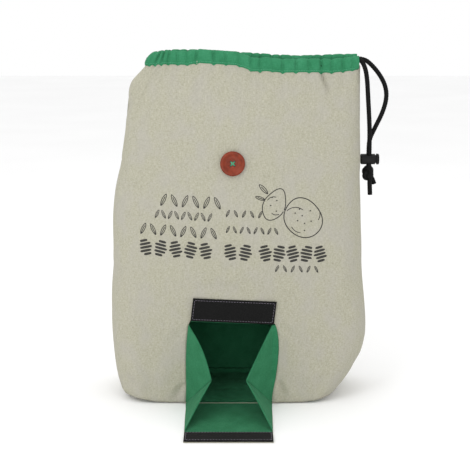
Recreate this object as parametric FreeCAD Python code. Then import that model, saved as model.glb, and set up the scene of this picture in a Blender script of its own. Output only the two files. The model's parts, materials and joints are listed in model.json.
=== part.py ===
"""Standing drawstring storage bag for potatoes, with a bellows hatch at its foot.

Millimetres. +Z is up and the bag stands on z = 0, with the origin in the middle of
its base. The hatch is at the front, towards -Y, and the drawcord hangs at +X.

The body is a gathered cloth tube: a front and a back panel joined at side seams in
the plane y = 0, closed below by a base panel, with an opaque lining inside. A folded
band round the mouth is the casing for the drawcord. The hatch is a flap on the base's
front edge, open and lying on the floor, with a folded gusset at each side.
"""

import FreeCAD
import Part

import math
import os
from collections import namedtuple

Vector = FreeCAD.Vector
OUT = "parts"

# ---- cloth ----
OUTER_CLOTH = 0.9  # linen and cotton canvas
LINING_CLOTH = 0.5  # opaque cotton
CLOTH_GAP = 0.3  # air between canvas and lining

# ---- body: horizontal sections, each a rounded rectangle with bowed faces ----
# left and right are the side seams, depth is from the seam plane to the face's
# middle, corner is the corner's radius and flank half the straight side at the seam.
Section = namedtuple("Section", "z left right depth corner flank")
BODY = [
    Section(0.9, -122, 124, 57, 30, 25),
    Section(22, -126, 136, 57, 31, 23),
    Section(48, -129, 147, 57, 33, 19),
    Section(110, -130, 149, 57, 36, 13),
    Section(170, -128, 145, 56, 36, 8),
    Section(230, -125, 143, 50, 32, 5),
    Section(290, -114, 142, 38, 25, 3),
    Section(335, -107, 140, 24, 16, 2),
    Section(357, -93, 139, 15.5, 11, 1),
]
MOUTH = BODY[-1]

# ---- casing band round the mouth ----
BAND_HEIGHT = 15.0
BAND_THICK = 6.6
BAND_CLOTH = 0.5
BAND_END = 138.0  # x of the open ends that the drawcord leaves by

# ---- hatch ----
HATCH_HALF = 46.5  # half the opening's width
HATCH_TOP = 89.0
HATCH_GAP = 3.6  # from the body's face to the flap's lining when it is shut
FLAP_OUTER = 0.6
FLAP_LINING = 0.6
FLAP_LENGTH = 113.0
FOLD_CLEAR = 0.3  # bare cloth left at a fold
TAPE_WIDTH = 25.0
TAPE_THICK = 1.3
TAPE_LENGTH = 89.0
PANEL_TAPE_AT = (5.0, 103.5)  # x and z of its middle
PANEL_TAPE_TILT = 2.4  # degrees, down towards +X

# ---- gussets: two triangles each, hinged on the opening's side and on the flap's ----
GUSSET_CLOTH = 0.8
CREASE_ANGLE = 51.6  # between the crease and either hinge line
CREASE_LENGTH = 58.5
GUSSET_HEM = 84.0  # along each hinge line, from the fold's corner
LOWER_ANGLE = 38.5  # the lower half stops here, clear of the crease while it folds
CORNER_CUT = 4.0

# ---- drawcord and its lock ----
CORD = 4.6
CORD_Z = MOUTH.z + BAND_HEIGHT / 2
LEG_Y = 2.7  # the two legs lie one behind the other inside the lock
LOCK_X = (143.0, 158.2)  # the barrel's ends
LOCK_Z = 259.2
LOCK_HEIGHT = 11.0
LOCK_DEPTH = 14.0
LOCK_WALL = 1.1
LOCK_TRAVEL = 1.8
CORD_SLOT = (149.2, 154.6)
LEG_X = sum(CORD_SLOT) / 2
SLOT_CLEAR = 0.4
PLUNGER_END = 147.7
PLUNGER_CLEAR = 0.12
CAP_THICK = 2.5
CAP_LIP = 0.4
SPRING_WIRE = 0.5
SPRING_RADIUS = 2.6
SPRING_TURNS = 3
SPRING_STEPS = 9  # corners in each turn
KNOT_Z = (236.0, 252.6)
KNOT_RADIUS = 7.2
TAIL_LONG_END = 220.5
TAIL_SHORT_END = 233.0
TAIL_SHORT_X = 159.4

# ---- button ----
BUTTON_AT = (3.0, 260.5)  # x and z of its middle
BUTTON_RADIUS = 12.6
BUTTON_THICK = 3.6
BUTTON_STANDOFF = 1.2
BUTTON_HOLE = 1.1
BUTTON_HOLE_RING = 2.9  # from the middle to each hole
BUTTON_DISH = 8.2
THREAD = 0.8


def save(shape, name):
    """Writes one sub-part after testing that it is one or more closed solids."""
    solids = shape.Solids
    assert solids and shape.isValid(), name
    assert all(s.isClosed() and s.Volume > 0 for s in solids), name
    Part.makeCompound(solids).exportStep(os.path.join(OUT, name + ".step"))


def box(low, high):
    size = [b - a for a, b in zip(low, high)]
    return Part.makeBox(*size, Vector(*low))


def arc(centre, radius, start, end, z):
    """An arc about centre from angle start to end, in degrees, the short way."""
    at = [
        Vector(
            centre[0] + radius * math.cos(math.radians(a)),
            centre[1] + radius * math.sin(math.radians(a)),
            z,
        )
        for a in (start, (start + end) / 2, end)
    ]
    return Part.Arc(*at).toShape()


def line(a, b):
    return Part.LineSegment(a, b).toShape()


# ---------------------------------------------------------------- body sections


def front_half(section, inset, z, open_end=None):
    """Edges of a section's front half, from the left seam to the right one.

    inset moves it inwards by that much. With open_end the right corner is left
    out, and the face runs straight on to that x.
    """
    middle = (section.left + section.right) / 2
    half = (section.right - section.left) / 2
    flat, r = section.flank, section.corner
    bow = section.depth - flat
    reach = half - r
    big = (reach**2 + bow**2 - r**2) / (2 * (bow - r))  # the face's radius
    centre = (middle, big - section.depth)
    turn = math.degrees(math.atan2(reach, big - bow))  # half the face's angle
    small, large = r - inset, big - inset
    left, right = section.left + inset, section.right - inset
    edges = [
        line(Vector(left, 0, z), Vector(left, -flat, z)),
        arc((middle - reach, -flat), small, 180, 270 - turn, z),
        arc(centre, large, 270 - turn, 270 + turn, z),
    ]
    if open_end is None:
        edges.append(arc((middle + reach, -flat), small, 270 + turn, 360, z))
        edges.append(line(Vector(right, -flat, z), Vector(right, 0, z)))
        return edges
    start = edges[-1].Vertexes[-1].Point
    slope = math.tan(math.radians(turn))
    edges.append(line(start, Vector(open_end, start.y + slope * (open_end - start.x), z)))
    return edges


def ring(section, outer, inner, z, open_end=None):
    """A closed wire round the cloth's cut edge in one half section."""
    out = front_half(section, outer, z, open_end)
    back = front_half(section, inner, z, open_end)
    first, last = out[0].Vertexes[0].Point, out[-1].Vertexes[-1].Point
    far, near = back[-1].Vertexes[-1].Point, back[0].Vertexes[0].Point
    return Part.Wire(out + [line(last, far)] + back[::-1] + [line(near, first)])


def body_panel(outer, inner, low, high):
    """The front half of a body cloth between two insets and two heights."""
    sections = [BODY[0]._replace(z=low)] + BODY[1:-1] + [MOUTH._replace(z=high)]
    rings = [ring(s, outer, inner, s.z) for s in sections]
    return Part.makeLoft(rings, True, False)


def to_back(shape):
    """The same shape on the other side of the seam plane."""
    return shape.mirror(Vector(0, 0, 0), Vector(0, 1, 0))


def floor_outline(inset, low, high):
    """A flat base cloth inside the body's foot."""
    front = front_half(BODY[0], inset, low)
    back = [to_back(e) for e in front]
    face = Part.Face(Part.Wire(Part.__sortEdges__(front + back)))
    return face.extrude(Vector(0, 0, high - low))


def face_y(panel, x, z):
    """y of the panel's outer face at x and z."""
    probe = Part.LineSegment(Vector(x, -200, z), Vector(x, 0, z)).toShape()
    return min(v.Point.y for v in panel.common(probe).Vertexes)


def make_body():
    """Canvas and lining, with the hatch opening cut through both fronts."""
    hatch = box((-HATCH_HALF, -90, -1), (HATCH_HALF, -30, HATCH_TOP))
    lining_inset = OUTER_CLOTH + CLOTH_GAP
    lining_inner = lining_inset + LINING_CLOTH
    lining_z = OUTER_CLOTH + LINING_CLOTH + 0.1

    canvas = body_panel(0, OUTER_CLOTH, OUTER_CLOTH, MOUTH.z)
    save(canvas.cut(hatch), "outer_front_panel")
    save(to_back(canvas), "outer_back_panel")

    lining = body_panel(lining_inset, lining_inner, lining_z, MOUTH.z)
    save(lining.cut(hatch), "lining_front")
    save(to_back(lining), "lining_back")

    base = floor_outline(0, 0, OUTER_CLOTH)
    depth = BODY[0].depth
    sill = box((-HATCH_HALF, -depth - HATCH_GAP + FOLD_CLEAR, 0), (HATCH_HALF, -40, OUTER_CLOTH))
    save(base.fuse(sill).removeSplitter(), "outer_base_panel")
    save(floor_outline(lining_inner, OUTER_CLOTH, lining_z - 0.1), "lining_base")
    return canvas


# ---------------------------------------------------------------- casing and cord


def band_half(outer, inner, low, high, open_end):
    face = Part.Face(ring(MOUTH, outer, inner, low, open_end))
    return face.extrude(Vector(0, 0, high - low))


def make_casing():
    """A folded band with a tunnel, open at its right ends and between the halves."""
    top = MOUTH.z + BAND_HEIGHT
    inner = BAND_THICK - BAND_CLOTH
    band = band_half(0, BAND_THICK, MOUTH.z, top, BAND_END)
    past = BAND_END + 2
    tunnel = band_half(BAND_CLOTH, inner, MOUTH.z + BAND_CLOTH, top - BAND_CLOTH, past)
    side = box((MOUTH.left - 1, -1, MOUTH.z + BAND_CLOTH), (MOUTH.left + inner, 1, top - BAND_CLOTH))
    through_seam = side.common(box((MOUTH.left + BAND_CLOTH, -1, 0), (0, 1, 999)))
    half = band.cut(tunnel).cut(through_seam)
    save(half, "casing_front")
    save(to_back(half), "casing_back")


def cord_path(points):
    """Straight runs joined by tangent arcs, each as large as its two runs allow."""
    points = [Vector(*p) for p in points]
    edges, at, radii = [], points[0], []
    for before, corner, after in zip(points, points[1:], points[2:]):
        back, on = (before - corner), (after - corner)
        turn = math.pi - back.getAngle(on)
        short = min(back.Length, on.Length)
        radius = 0.45 * short / math.tan(turn / 2)
        trim = 0.45 * short
        a = corner + back.normalize() * trim
        b = corner + on.normalize() * trim
        inward = (back + on).normalize()
        middle = corner + inward * (radius / math.cos(turn / 2) - radius)
        edges += [line(at, a), Part.Arc(a, middle, b).toShape()]
        at = b
        radii.append(radius)
    edges.append(line(at, points[-1]))
    print("  bend radii", " ".join(f"{r:.1f}" for r in radii))
    return Part.Wire(edges)


def tube(path, diameter):
    """A round cord along a path, compared with its section times its length."""
    first = path.Edges[0]
    along = first.tangentAt(first.FirstParameter)
    start = first.valueAt(first.FirstParameter)
    circle = Part.Wire(Part.makeCircle(diameter / 2, start, along))
    swept = path.makePipeShell([circle], True, True)
    expected = math.pi * diameter**2 / 4 * path.Length
    print(f"  cord of {path.Length:.1f} mm, volume ratio {swept.Volume / expected:.4f}")
    return swept


def make_cased_cord():
    """The cord inside the casing: in at the front's open end, round and out behind."""
    front = front_half(MOUTH, BAND_THICK / 2, CORD_Z, BAND_END)
    back = [to_back(e) for e in front]
    path = Part.Wire(Part.__sortEdges__(front + back))
    save(tube(path, CORD), "drawcord_in_casing")
    return front[-1].Vertexes[-1].Point


def make_cord_legs(end):
    """Both free legs, from the casing's ends through the lock to the knot."""
    y = -end.y
    low, high = KNOT_Z
    print("front leg")
    front = [
        (BAND_END, -y, CORD_Z),
        (142.2, -y + 0.1, CORD_Z - 1.2),
        (145.7, -y + 0.5, 359.0),
        (147.4, -y + 1.0, 352.6),
        (147.9, -y + 1.7, 342.5),
        (149.0, -y + 2.6, 326),
        (150.6, -LEG_Y - 1.5, 308),
        (151.7, -LEG_Y - 0.5, 292),
        (LEG_X, -LEG_Y, 279),
        (LEG_X + 0.1, -LEG_Y, 265.5),
        (LEG_X, -LEG_Y, high),
    ]
    save(tube(cord_path(front), CORD), "drawcord_front_leg")
    print("back leg")
    back = [
        (BAND_END, y, CORD_Z),
        (146.5, y - 0.1, CORD_Z + 0.3),
        (154.6, y - 0.7, 361.4),
        (161.6, y - 1.0, 353.6),
        (166.6, y - 1.6, 341.5),
        (167.4, y - 2.4, 326),
        (163.0, LEG_Y + 2.0, 310),
        (156.6, LEG_Y + 0.8, 294),
        (LEG_X, LEG_Y, 280),
        (LEG_X - 0.1, LEG_Y, 266),
        (LEG_X, LEG_Y, high),
    ]
    save(tube(cord_path(back), CORD), "drawcord_back_leg")

    knot = Part.makeSphere(1, Vector(0, 0, 0))
    stretch = FreeCAD.Matrix()
    stretch.scale(KNOT_RADIUS, KNOT_RADIUS, (high - low) / 2 + 1.5)
    knot = knot.transformGeometry(stretch)
    knot.translate(Vector(LEG_X, 0, (high + low) / 2))
    save(knot.common(box((LEG_X - 9, -9, low), (LEG_X + 9, 9, high))), "drawcord_end_knot")

    long_tail = [(LEG_X + 1.2, -2.7, low), (LEG_X + 1.2, -2.7, low - 7)]
    long_tail.append((LEG_X + 2.2, -2.2, TAIL_LONG_END))
    save(tube(cord_path(long_tail), CORD), "drawcord_tail_long")
    start = Vector(LEG_X + 2.4, 3.1, low)
    along = Vector(TAIL_SHORT_X, 3.3, TAIL_SHORT_END) - start
    short = Part.makeCylinder(CORD / 2, along.Length, start, along)
    clear = box((100, -20, 200), (200, 20, low))
    save(short.common(clear), "drawcord_tail_short")


# ---------------------------------------------------------------- cord lock


def oval(x, length, depth, height):
    """A bar along X with an oval section, centred on the cord."""
    r = height / 2
    flat = (depth - height) / 2
    z = LOCK_Z
    upper, lower = z + r, z - r
    edges = [
        line(Vector(x, -flat, upper), Vector(x, flat, upper)),
        Part.Arc(Vector(x, flat, upper), Vector(x, flat + r, z), Vector(x, flat, lower)).toShape(),
        line(Vector(x, flat, lower), Vector(x, -flat, lower)),
        Part.Arc(Vector(x, -flat, lower), Vector(x, -flat - r, z), Vector(x, -flat, upper)).toShape(),
    ]
    return Part.Face(Part.Wire(edges)).extrude(Vector(length, 0, 0))


def cord_slot(x0, x1):
    """The hole that both legs pass through, with round ends."""
    half = LEG_Y + CORD / 2 + SLOT_CLEAR
    slot = box((x0, -half, LOCK_Z - 20), (x1, half, LOCK_Z + 20))
    return slot.makeFillet(
        2.0, [e for e in slot.Edges if abs(e.tangentAt(0).z) > 0.9]
    )


def make_lock():
    """Barrel, plunger with its cap, and the spring between them."""
    x0, x1 = LOCK_X
    length = x1 - x0
    barrel = oval(x0, length, LOCK_DEPTH, LOCK_HEIGHT)
    rims = [e for e in barrel.Edges if abs(e.CenterOfMass.x - x0) < 0.01]
    barrel = barrel.makeFillet(0.9, rims)
    inner_depth, inner_height = LOCK_DEPTH - 2 * LOCK_WALL, LOCK_HEIGHT - 2 * LOCK_WALL
    barrel = barrel.cut(oval(x0 + LOCK_WALL, length, inner_depth, inner_height))
    save(barrel.cut(cord_slot(*CORD_SLOT)), "cord_lock_barrel")

    slack = 2 * PLUNGER_CLEAR
    cap_x = x1 + LOCK_TRAVEL + 0.1
    shank = oval(PLUNGER_END, cap_x - PLUNGER_END, inner_depth - slack, inner_height - slack)
    cap = oval(cap_x, CAP_THICK, LOCK_DEPTH + CAP_LIP, LOCK_HEIGHT + CAP_LIP)
    rims = [e for e in cap.Edges if abs(e.CenterOfMass.x - cap_x - CAP_THICK) < 0.01]
    cap = cap.makeFillet(0.9, rims)
    plunger = shank.fuse(cap)
    slot = cord_slot(CORD_SLOT[0], CORD_SLOT[1] + LOCK_TRAVEL)
    save(plunger.cut(slot), "cord_lock_plunger")

    start = x0 + LOCK_WALL + SPRING_WIRE / 2 + 0.05
    room = PLUNGER_END - start - SPRING_WIRE / 2 - 0.05
    last = SPRING_TURNS * SPRING_STEPS
    coil = []
    for step in range(last + 1):
        angle = 2 * math.pi * step / SPRING_STEPS
        y, z = SPRING_RADIUS * math.cos(angle), SPRING_RADIUS * math.sin(angle)
        coil.append((start + room * step / last, y, LOCK_Z + z))
    spring = tube(cord_path(coil), SPRING_WIRE)
    save(spring, "cord_lock_spring")


# ---------------------------------------------------------------- hatch


def make_tapes(canvas):
    """Loop tape on the body above the opening, and hook tape on the flap's end."""
    x, z = PANEL_TAPE_AT
    half, wide = TAPE_LENGTH / 2, TAPE_WIDTH / 2
    nearest = min(face_y(canvas, x + dx, z + dz) for dx in (-half, 0, half) for dz in (-wide, 0, wide))
    back = nearest - 0.05
    tape = box((x - half, back - TAPE_THICK, z - wide), (x + half, back, z + wide))
    tape.rotate(Vector(x, back, z), Vector(0, 1, 0), PANEL_TAPE_TILT)
    save(tape, "panel_loop_tape")

    top = FLAP_OUTER + FLAP_LINING
    end = hinge_y() - FLAP_LENGTH
    hook = box((-half, end + 0.5, top), (half, end + 0.5 + TAPE_WIDTH, top + TAPE_THICK))
    save(hook, "flap_hook_tape")
    shut = hinge_y() + TAPE_THICK
    print(f"  tapes stand {back - TAPE_THICK - shut:.2f} mm apart when the flap is shut")


def hinge_y():
    """The flap's hinge line is on its lining's face, this far forward."""
    return -BODY[0].depth - HATCH_GAP


def make_flap():
    near, far = hinge_y() - FOLD_CLEAR, hinge_y() - FLAP_LENGTH
    outer = box((-HATCH_HALF, far, 0), (HATCH_HALF, near, FLAP_OUTER))
    lining = box((-HATCH_HALF, far, FLAP_OUTER), (HATCH_HALF, near, FLAP_OUTER + FLAP_LINING))
    save(outer, "flap_outer")
    save(lining, "flap_lining")


def gusset_plate(corners, across, along, corner_point):
    """A flat cloth from corners given as (across, along) the hinge line."""
    normal = across.cross(along)
    half = normal * (GUSSET_CLOTH / 2)
    at = [corner_point + across * s + along * t - half for s, t in corners]
    face = Part.Face(Part.makePolygon(at + at[:1]))
    return face.extrude(half * 2)


def make_gussets():
    """Upper halves hang on the opening's sides, lower halves on the flap's."""
    crease = math.radians(CREASE_ANGLE)
    tip = (CREASE_LENGTH * math.sin(crease), CREASE_LENGTH * math.cos(crease))
    open_turn = math.asin(1 / math.tan(crease))  # fold of each half, flap at 90 degrees
    print(f"  gusset halves turn {math.degrees(open_turn):.3f} degrees")
    near = 0.6
    cut = CORNER_CUT
    upper = [(near, cut), (near, GUSSET_HEM), (tip[0], tip[1] + 0.3), (cut * math.tan(crease) - 0.6, cut)]

    edge = 1 / math.tan(math.radians(LOWER_ANGLE))
    fall = (GUSSET_HEM - tip[1]) / tip[0]
    s = GUSSET_HEM / (edge + fall)
    lower = [(near, cut + 1), (near, GUSSET_HEM), (s, s * edge), ((cut + 1) / edge, cut + 1)]

    lift = FLAP_OUTER + FLAP_LINING + 0.9  # height of the lower hinge lines
    out = -BODY[0].depth - 0.9  # y of the upper hinge lines
    c, f = math.cos(open_turn), math.sin(open_turn)
    for side, name in ((-1, "left"), (1, "right")):
        corner = Vector(side * HATCH_HALF, out, lift)
        plate = gusset_plate(upper, Vector(-side * c, -f, 0), Vector(0, 0, 1), corner)
        save(plate, f"gusset_{name}_upper")
        plate = gusset_plate(lower, Vector(-side * c, 0, f), Vector(0, -1, 0), corner)
        save(plate, f"gusset_{name}_lower")


# ---------------------------------------------------------------- button


def make_button(canvas):
    """A dished four-hole button, sewn on with a crossed thread."""
    x, z = BUTTON_AT
    y = face_y(canvas, x, z)
    slope = math.degrees(math.atan2(face_y(canvas, x, z + 8) - face_y(canvas, x, z - 8), 16))

    # drawn about the origin with its face up, then stood on the cloth
    base = BUTTON_STANDOFF
    disc = Part.makeCylinder(BUTTON_RADIUS, BUTTON_THICK, Vector(0, 0, base))
    disc = disc.makeFillet(1.4, [e for e in disc.Edges if e.Curve.TypeId == "Part::GeomCircle"])
    top = base + BUTTON_THICK
    dish = Part.makeCylinder(BUTTON_DISH, 2, Vector(0, 0, top - 1.2))
    disc = disc.cut(dish)
    ring_at = BUTTON_HOLE_RING / math.sqrt(2)
    places = [(sx * ring_at, sy * ring_at) for sx in (-1, 1) for sy in (-1, 1)]
    for hx, hy in places:
        disc = disc.cut(Part.makeCylinder(BUTTON_HOLE, 9, Vector(hx, hy, 0)))

    face = top - 1.2
    r = THREAD / 2
    thread = Part.makeCylinder(1.6, base - 0.1, Vector(0, 0, 0.05))
    for hx, hy in places:
        post = Part.makeCylinder(r, face + r + 0.1, Vector(hx, hy, 0.05))
        thread = thread.fuse(post)
        foot = Vector(hx, hy, base / 2)
        thread = thread.fuse(Part.makeCylinder(r, foot.Length, foot, Vector(-hx, -hy, 0)))
    for sx in (-1, 1):
        a = Vector(-ring_at, -sx * ring_at, face + r + 0.1)
        along = Vector(2 * ring_at, 2 * sx * ring_at, 0)
        thread = thread.fuse(Part.makeCylinder(r, along.Length, a, along))
    for shape, name in ((disc, "button"), (thread, "button_thread")):
        shape.rotate(Vector(0, 0, 0), Vector(1, 0, 0), 90 - slope)
        shape.translate(Vector(x, y - 0.05, z))
        save(shape, name)


def main():
    os.makedirs(OUT, exist_ok=True)
    canvas = make_body()
    make_casing()
    end = make_cased_cord()
    make_cord_legs(end)
    make_lock()
    make_tapes(canvas)
    make_flap()
    make_gussets()
    make_button(canvas)


main()
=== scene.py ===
"""The looks of a standing drawstring potato bag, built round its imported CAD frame.

Metres, in the CAD's own frame: +Z is up, the bag stands on z = 0, the hatch is towards
-Y and the drawcord hangs at +X.
"""

import json
import math
import random

import bmesh
import bpy
import numpy as np
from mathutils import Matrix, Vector, noise
from mathutils.bvhtree import BVHTree


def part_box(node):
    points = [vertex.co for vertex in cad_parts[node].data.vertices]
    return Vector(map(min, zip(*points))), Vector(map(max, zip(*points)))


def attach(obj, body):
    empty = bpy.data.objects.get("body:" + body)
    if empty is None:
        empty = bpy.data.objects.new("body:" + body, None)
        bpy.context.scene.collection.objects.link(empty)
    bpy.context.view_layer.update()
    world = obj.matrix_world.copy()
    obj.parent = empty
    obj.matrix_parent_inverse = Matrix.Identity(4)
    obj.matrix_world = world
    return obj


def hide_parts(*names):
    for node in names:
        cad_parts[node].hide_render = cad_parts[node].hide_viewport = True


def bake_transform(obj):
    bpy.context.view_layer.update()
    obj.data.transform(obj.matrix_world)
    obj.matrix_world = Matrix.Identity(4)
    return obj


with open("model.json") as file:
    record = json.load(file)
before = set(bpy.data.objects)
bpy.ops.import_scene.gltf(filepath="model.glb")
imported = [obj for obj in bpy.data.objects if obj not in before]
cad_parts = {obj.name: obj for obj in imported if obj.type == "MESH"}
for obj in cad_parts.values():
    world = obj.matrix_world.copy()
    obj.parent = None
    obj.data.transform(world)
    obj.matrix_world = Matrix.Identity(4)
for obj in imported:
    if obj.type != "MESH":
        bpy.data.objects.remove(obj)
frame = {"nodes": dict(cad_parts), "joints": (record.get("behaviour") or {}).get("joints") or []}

noise.seed_set(1)  # noise_vector takes its offsets from this, and from the clock if it is unset

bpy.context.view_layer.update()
MM = 0.001

# ---- places, from the frame ----
HINGE = next(j for j in frame["joints"] if j["name"] == "hatch_flap")["pos_m"]
FLAP_LOW, FLAP_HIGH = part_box("flap_lining")
HATCH_HALF = FLAP_HIGH.x
HATCH_TOP = 0.089
BAND_LOW, BAND_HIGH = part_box("casing_front")
LINING_TOP_Z = FLAP_HIGH.z

# ---- cloth ----
CANVAS_THICK = 0.9 * MM
LINING_THICK = 0.4 * MM
LINING_INSET = 1.5 * MM
BAND_CLOTH = 0.5 * MM
GUSSET_THICK = 0.6 * MM
WEAVE = 0.62 * MM  # from one thread to the next

# ---- the body's mesh ----
THREAD_LINE = 0.004
COLUMNS_LEFT = 46
COLUMNS_HATCH = 40
COLUMNS_RIGHT = 54
COLUMNS_BACK = 132
ROWS_HATCH = 40
ROWS_ABOVE = 116
FRONT_COLUMNS = COLUMNS_LEFT + COLUMNS_HATCH + COLUMNS_RIGHT

# ---- the casing band ----
BAND_FOOT = 358.4 * MM
UNDER_BAND = 4.5 * MM  # the canvas goes up that far inside the band
# pleats across the front: place along x, depth, lean, how far each one runs down the canvas, in mm
FRONT_PLEATS = [
    (-88, 1.2, -0.55, 30), (-81, 1.9, -0.5, 34), (-73.5, 1.7, -0.4, 30), (-65, 1.3, -0.25, 12),
    (-54, 1.2, -0.1, 14), (-44, 1.0, 0.0, 8), (-34, 1.6, 0.15, 16), (-16, 1.7, 0.1, 14),
    (-3, 1.1, 0.0, 10), (11, 0.9, 0.05, 9), (23, 1.4, 0.0, 12), (33, 1.7, -0.1, 12),
    (46, 0.8, 0.0, 8), (57, 1.5, 0.05, 14), (71, 1.5, 0.0, 13), (85, 1.3, 0.05, 12),
    (98, 2.3, 0.35, 24), (109, 1.3, 0.1, 14), (121, 1.5, -0.05, 22), (131, 0.9, 0.0, 12),
]
# how far the mouth's edge stands above or below its own level: x and height, in mm
SAG_FRONT = [
    (-95, 1.6), (-75, 3.4), (-65, 3.6), (-43, 3.0), (-32, 5.2), (-10, 3.8), (8, 2.6), (18, -0.8), (26, -3.8),
    (40, -3.4), (56, -5.0), (78, -4.6), (95, -4.8), (108, -5.4), (125, -3.6), (140, -1.8),
]
SAG_BACK = [(-95, 1.6), (-75, 3.6), (-50, 4.4), (-20, 3.6), (10, 1.6), (45, -1.0), (76, -2.4), (110, -1.2),
    (140, -0.4)]
# how far the body's two sides are drawn in, against their solids: height and inward distance, in mm
TRIM_LEFT = [(0, 5.0), (14, 4.2), (30, 3.2), (60, 2.8), (110, 2.0), (200, 1.6), (280, 1.8), (320, 2.0),
    (342, 1.6), (355, 4.6), (364, 10.0)]
TRIM_RIGHT = [(0, 8.0), (14, 6.4), (26, 5.8), (37, 5.0), (50, 2.2), (70, 0.9), (110, 0.8), (330, 1.0),
    (360, 0)]
# the open flap's height above the floor along its middle: y and height, in mm. It stays under the 1 mm
# that is free between the tapes when the flap is shut
FLAP_RISE = [
    (-173.6, 0.2), (-158, 0.15), (-146, 0.0), (-62, 0.0), (-58, 0.2), (-52, 0.5), (-44, 0.5),
]
# the opening's two sides: height and x, in mm
OPENING_LEFT = [(0, -46.3), (20, -45.8), (50, -45.9), (67, -45.2), (80, -43.8), (86, -42.9), (89, -41.2)]
OPENING_RIGHT = [(0, 45.6), (9, 46.2), (28, 50.2), (46, 52.6), (62, 53.6), (72, 53.2), (80, 52.0),
    (86, 50.6), (89, 48.8)]
# soft folds of the front: from x, z to x, z, half width, depth, in mm
FRONT_FOLDS = [
    (-85, 357, -117, 300, 3.6, 3.2), (-78, 355, -110, 288, 4.2, 2.6), (-36, 350, -29, 324, 4.0, 1.3),
    (98, 358, 107, 333, 1.5, 3.0), (121, 356, 127, 296, 6.0, 0.9), (132, 352, 131, 300, 4.0, 0.8),
    (10, 345, 26, 290, 9.0, 0.9), (62, 350, 52, 300, 8.0, 0.8), (-118, 262, -102, 214, 8.0, 1.2),
    (-124, 150, -108, 112, 8.0, 1.0), (138, 150, 128, 98, 8.0, 1.0), (139, 250, 132, 205, 7.0, 0.9),
    (52, 86, 78, 70, 4.0, 0.9), (-50, 82, -64, 66, 4.0, 0.7), (-50, 22, -60, 3, 3.5, 2.0),
    (51, 26, 62, 3, 3.5, 2.0), (-112, 30, -96, 3, 6.0, 1.6), (104, 34, 92, 3, 6.0, 1.5),
    (-30, 130, 34, 124, 7.0, 0.8), (-86, 34, -82, 5, 6.0, 0.8), (78, 30, 76, 5, 6.0, 0.8),
]
BACK_FOLDS = [
    (-80, 352, -98, 300, 5.0, 1.6), (-40, 352, -46, 300, 6.0, 1.2), (8, 352, 2, 296, 7.0, 1.1),
    (52, 352, 60, 306, 6.0, 1.4), (104, 352, 116, 300, 5.0, 1.4), (-116, 240, -96, 190, 9.0, 1.3),
    (134, 230, 116, 170, 9.0, 1.4), (-104, 40, -84, 4, 6.0, 1.6), (98, 44, 80, 4, 6.0, 1.6),
    (-20, 60, 24, 52, 9.0, 0.8),
]

# ---- the drawcord's two legs: the same points as their solids, in metres ----
CORD = 4.6 * MM
LEG_HALF_GAP = 2.7 * MM
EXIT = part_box("drawcord_in_casing")
EXIT_X = 0.138
EXIT_Z = (EXIT[0].z + EXIT[1].z) / 2
LEG_X = 0.1519
LEG_END_Z = 0.2526


# ------------------------------------------------------------------ small tools


def link(obj):
    bpy.context.scene.collection.objects.link(obj)
    return obj


def piece(name, verts, faces, material, body=None, uv=None):
    """A smooth mesh piece; uv holds cloth coordinates, in metres, of each vertex."""
    mesh = bpy.data.meshes.new(name)
    mesh.from_pydata([tuple(v) for v in verts], [], [tuple(f) for f in faces])
    mesh.update()
    mesh.polygons.foreach_set("use_smooth", [True] * len(mesh.polygons))
    if uv is not None:
        layer = mesh.uv_layers.new(name="cloth")
        corner = np.zeros(len(mesh.loops), int)
        mesh.loops.foreach_get("vertex_index", corner)
        layer.data.foreach_set("uv", np.asarray(uv, float)[corner].ravel())
    obj = link(bpy.data.objects.new(name, mesh))
    mesh.materials.append(material)
    if body:
        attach(obj, body)
    return obj


def bake(obj):
    """Applies the object's modifiers to its mesh."""
    graph = bpy.context.evaluated_depsgraph_get()
    mesh = bpy.data.meshes.new_from_object(obj.evaluated_get(graph))
    obj.modifiers.clear()
    obj.data = mesh
    return obj


def thicken(obj, thickness, offset=-1.0):
    """Gives a cloth its thickness, inwards unless offset says otherwise."""
    solid = obj.modifiers.new("thickness", "SOLIDIFY")
    solid.thickness = thickness
    solid.offset = offset
    solid.use_even_offset = False
    return bake(obj)


def grid_faces(rows, columns, closed=False, skip=None):
    """Quads of a grid stored row by row; closed joins its last column to its first."""
    faces = []
    for r in range(rows - 1):
        for c in range(columns if closed else columns - 1):
            if skip and skip(r, c):
                continue
            n = (c + 1) % columns
            faces.append((r * columns + c, r * columns + n, (r + 1) * columns + n, (r + 1) * columns + c))
    return faces


def surface_tree(obj_or_nodes):
    """A search tree over one object or over several CAD nodes."""
    if isinstance(obj_or_nodes, bpy.types.Object):
        meshes = [obj_or_nodes.data]
    else:
        meshes = [frame["nodes"][n].data for n in obj_or_nodes]
    verts, faces = [], []
    for mesh in meshes:
        base = len(verts)
        verts += [v.co.copy() for v in mesh.vertices]
        faces += [[base + i for i in p.vertices] for p in mesh.polygons]
    return BVHTree.FromPolygons(verts, faces)


def smoothstep(low, high, value):
    t = np.clip((value - low) / (high - low), 0, 1)
    return t * t * (3 - 2 * t)


def noise_at(points, size, seed):
    """Smooth noise of about -1 to 1 at each point, with features of that size."""
    shift = Vector((seed * 7.3, seed * 3.1, seed * 5.7))
    return np.array([noise.noise(Vector(p) / size + shift) for p in points])


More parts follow.
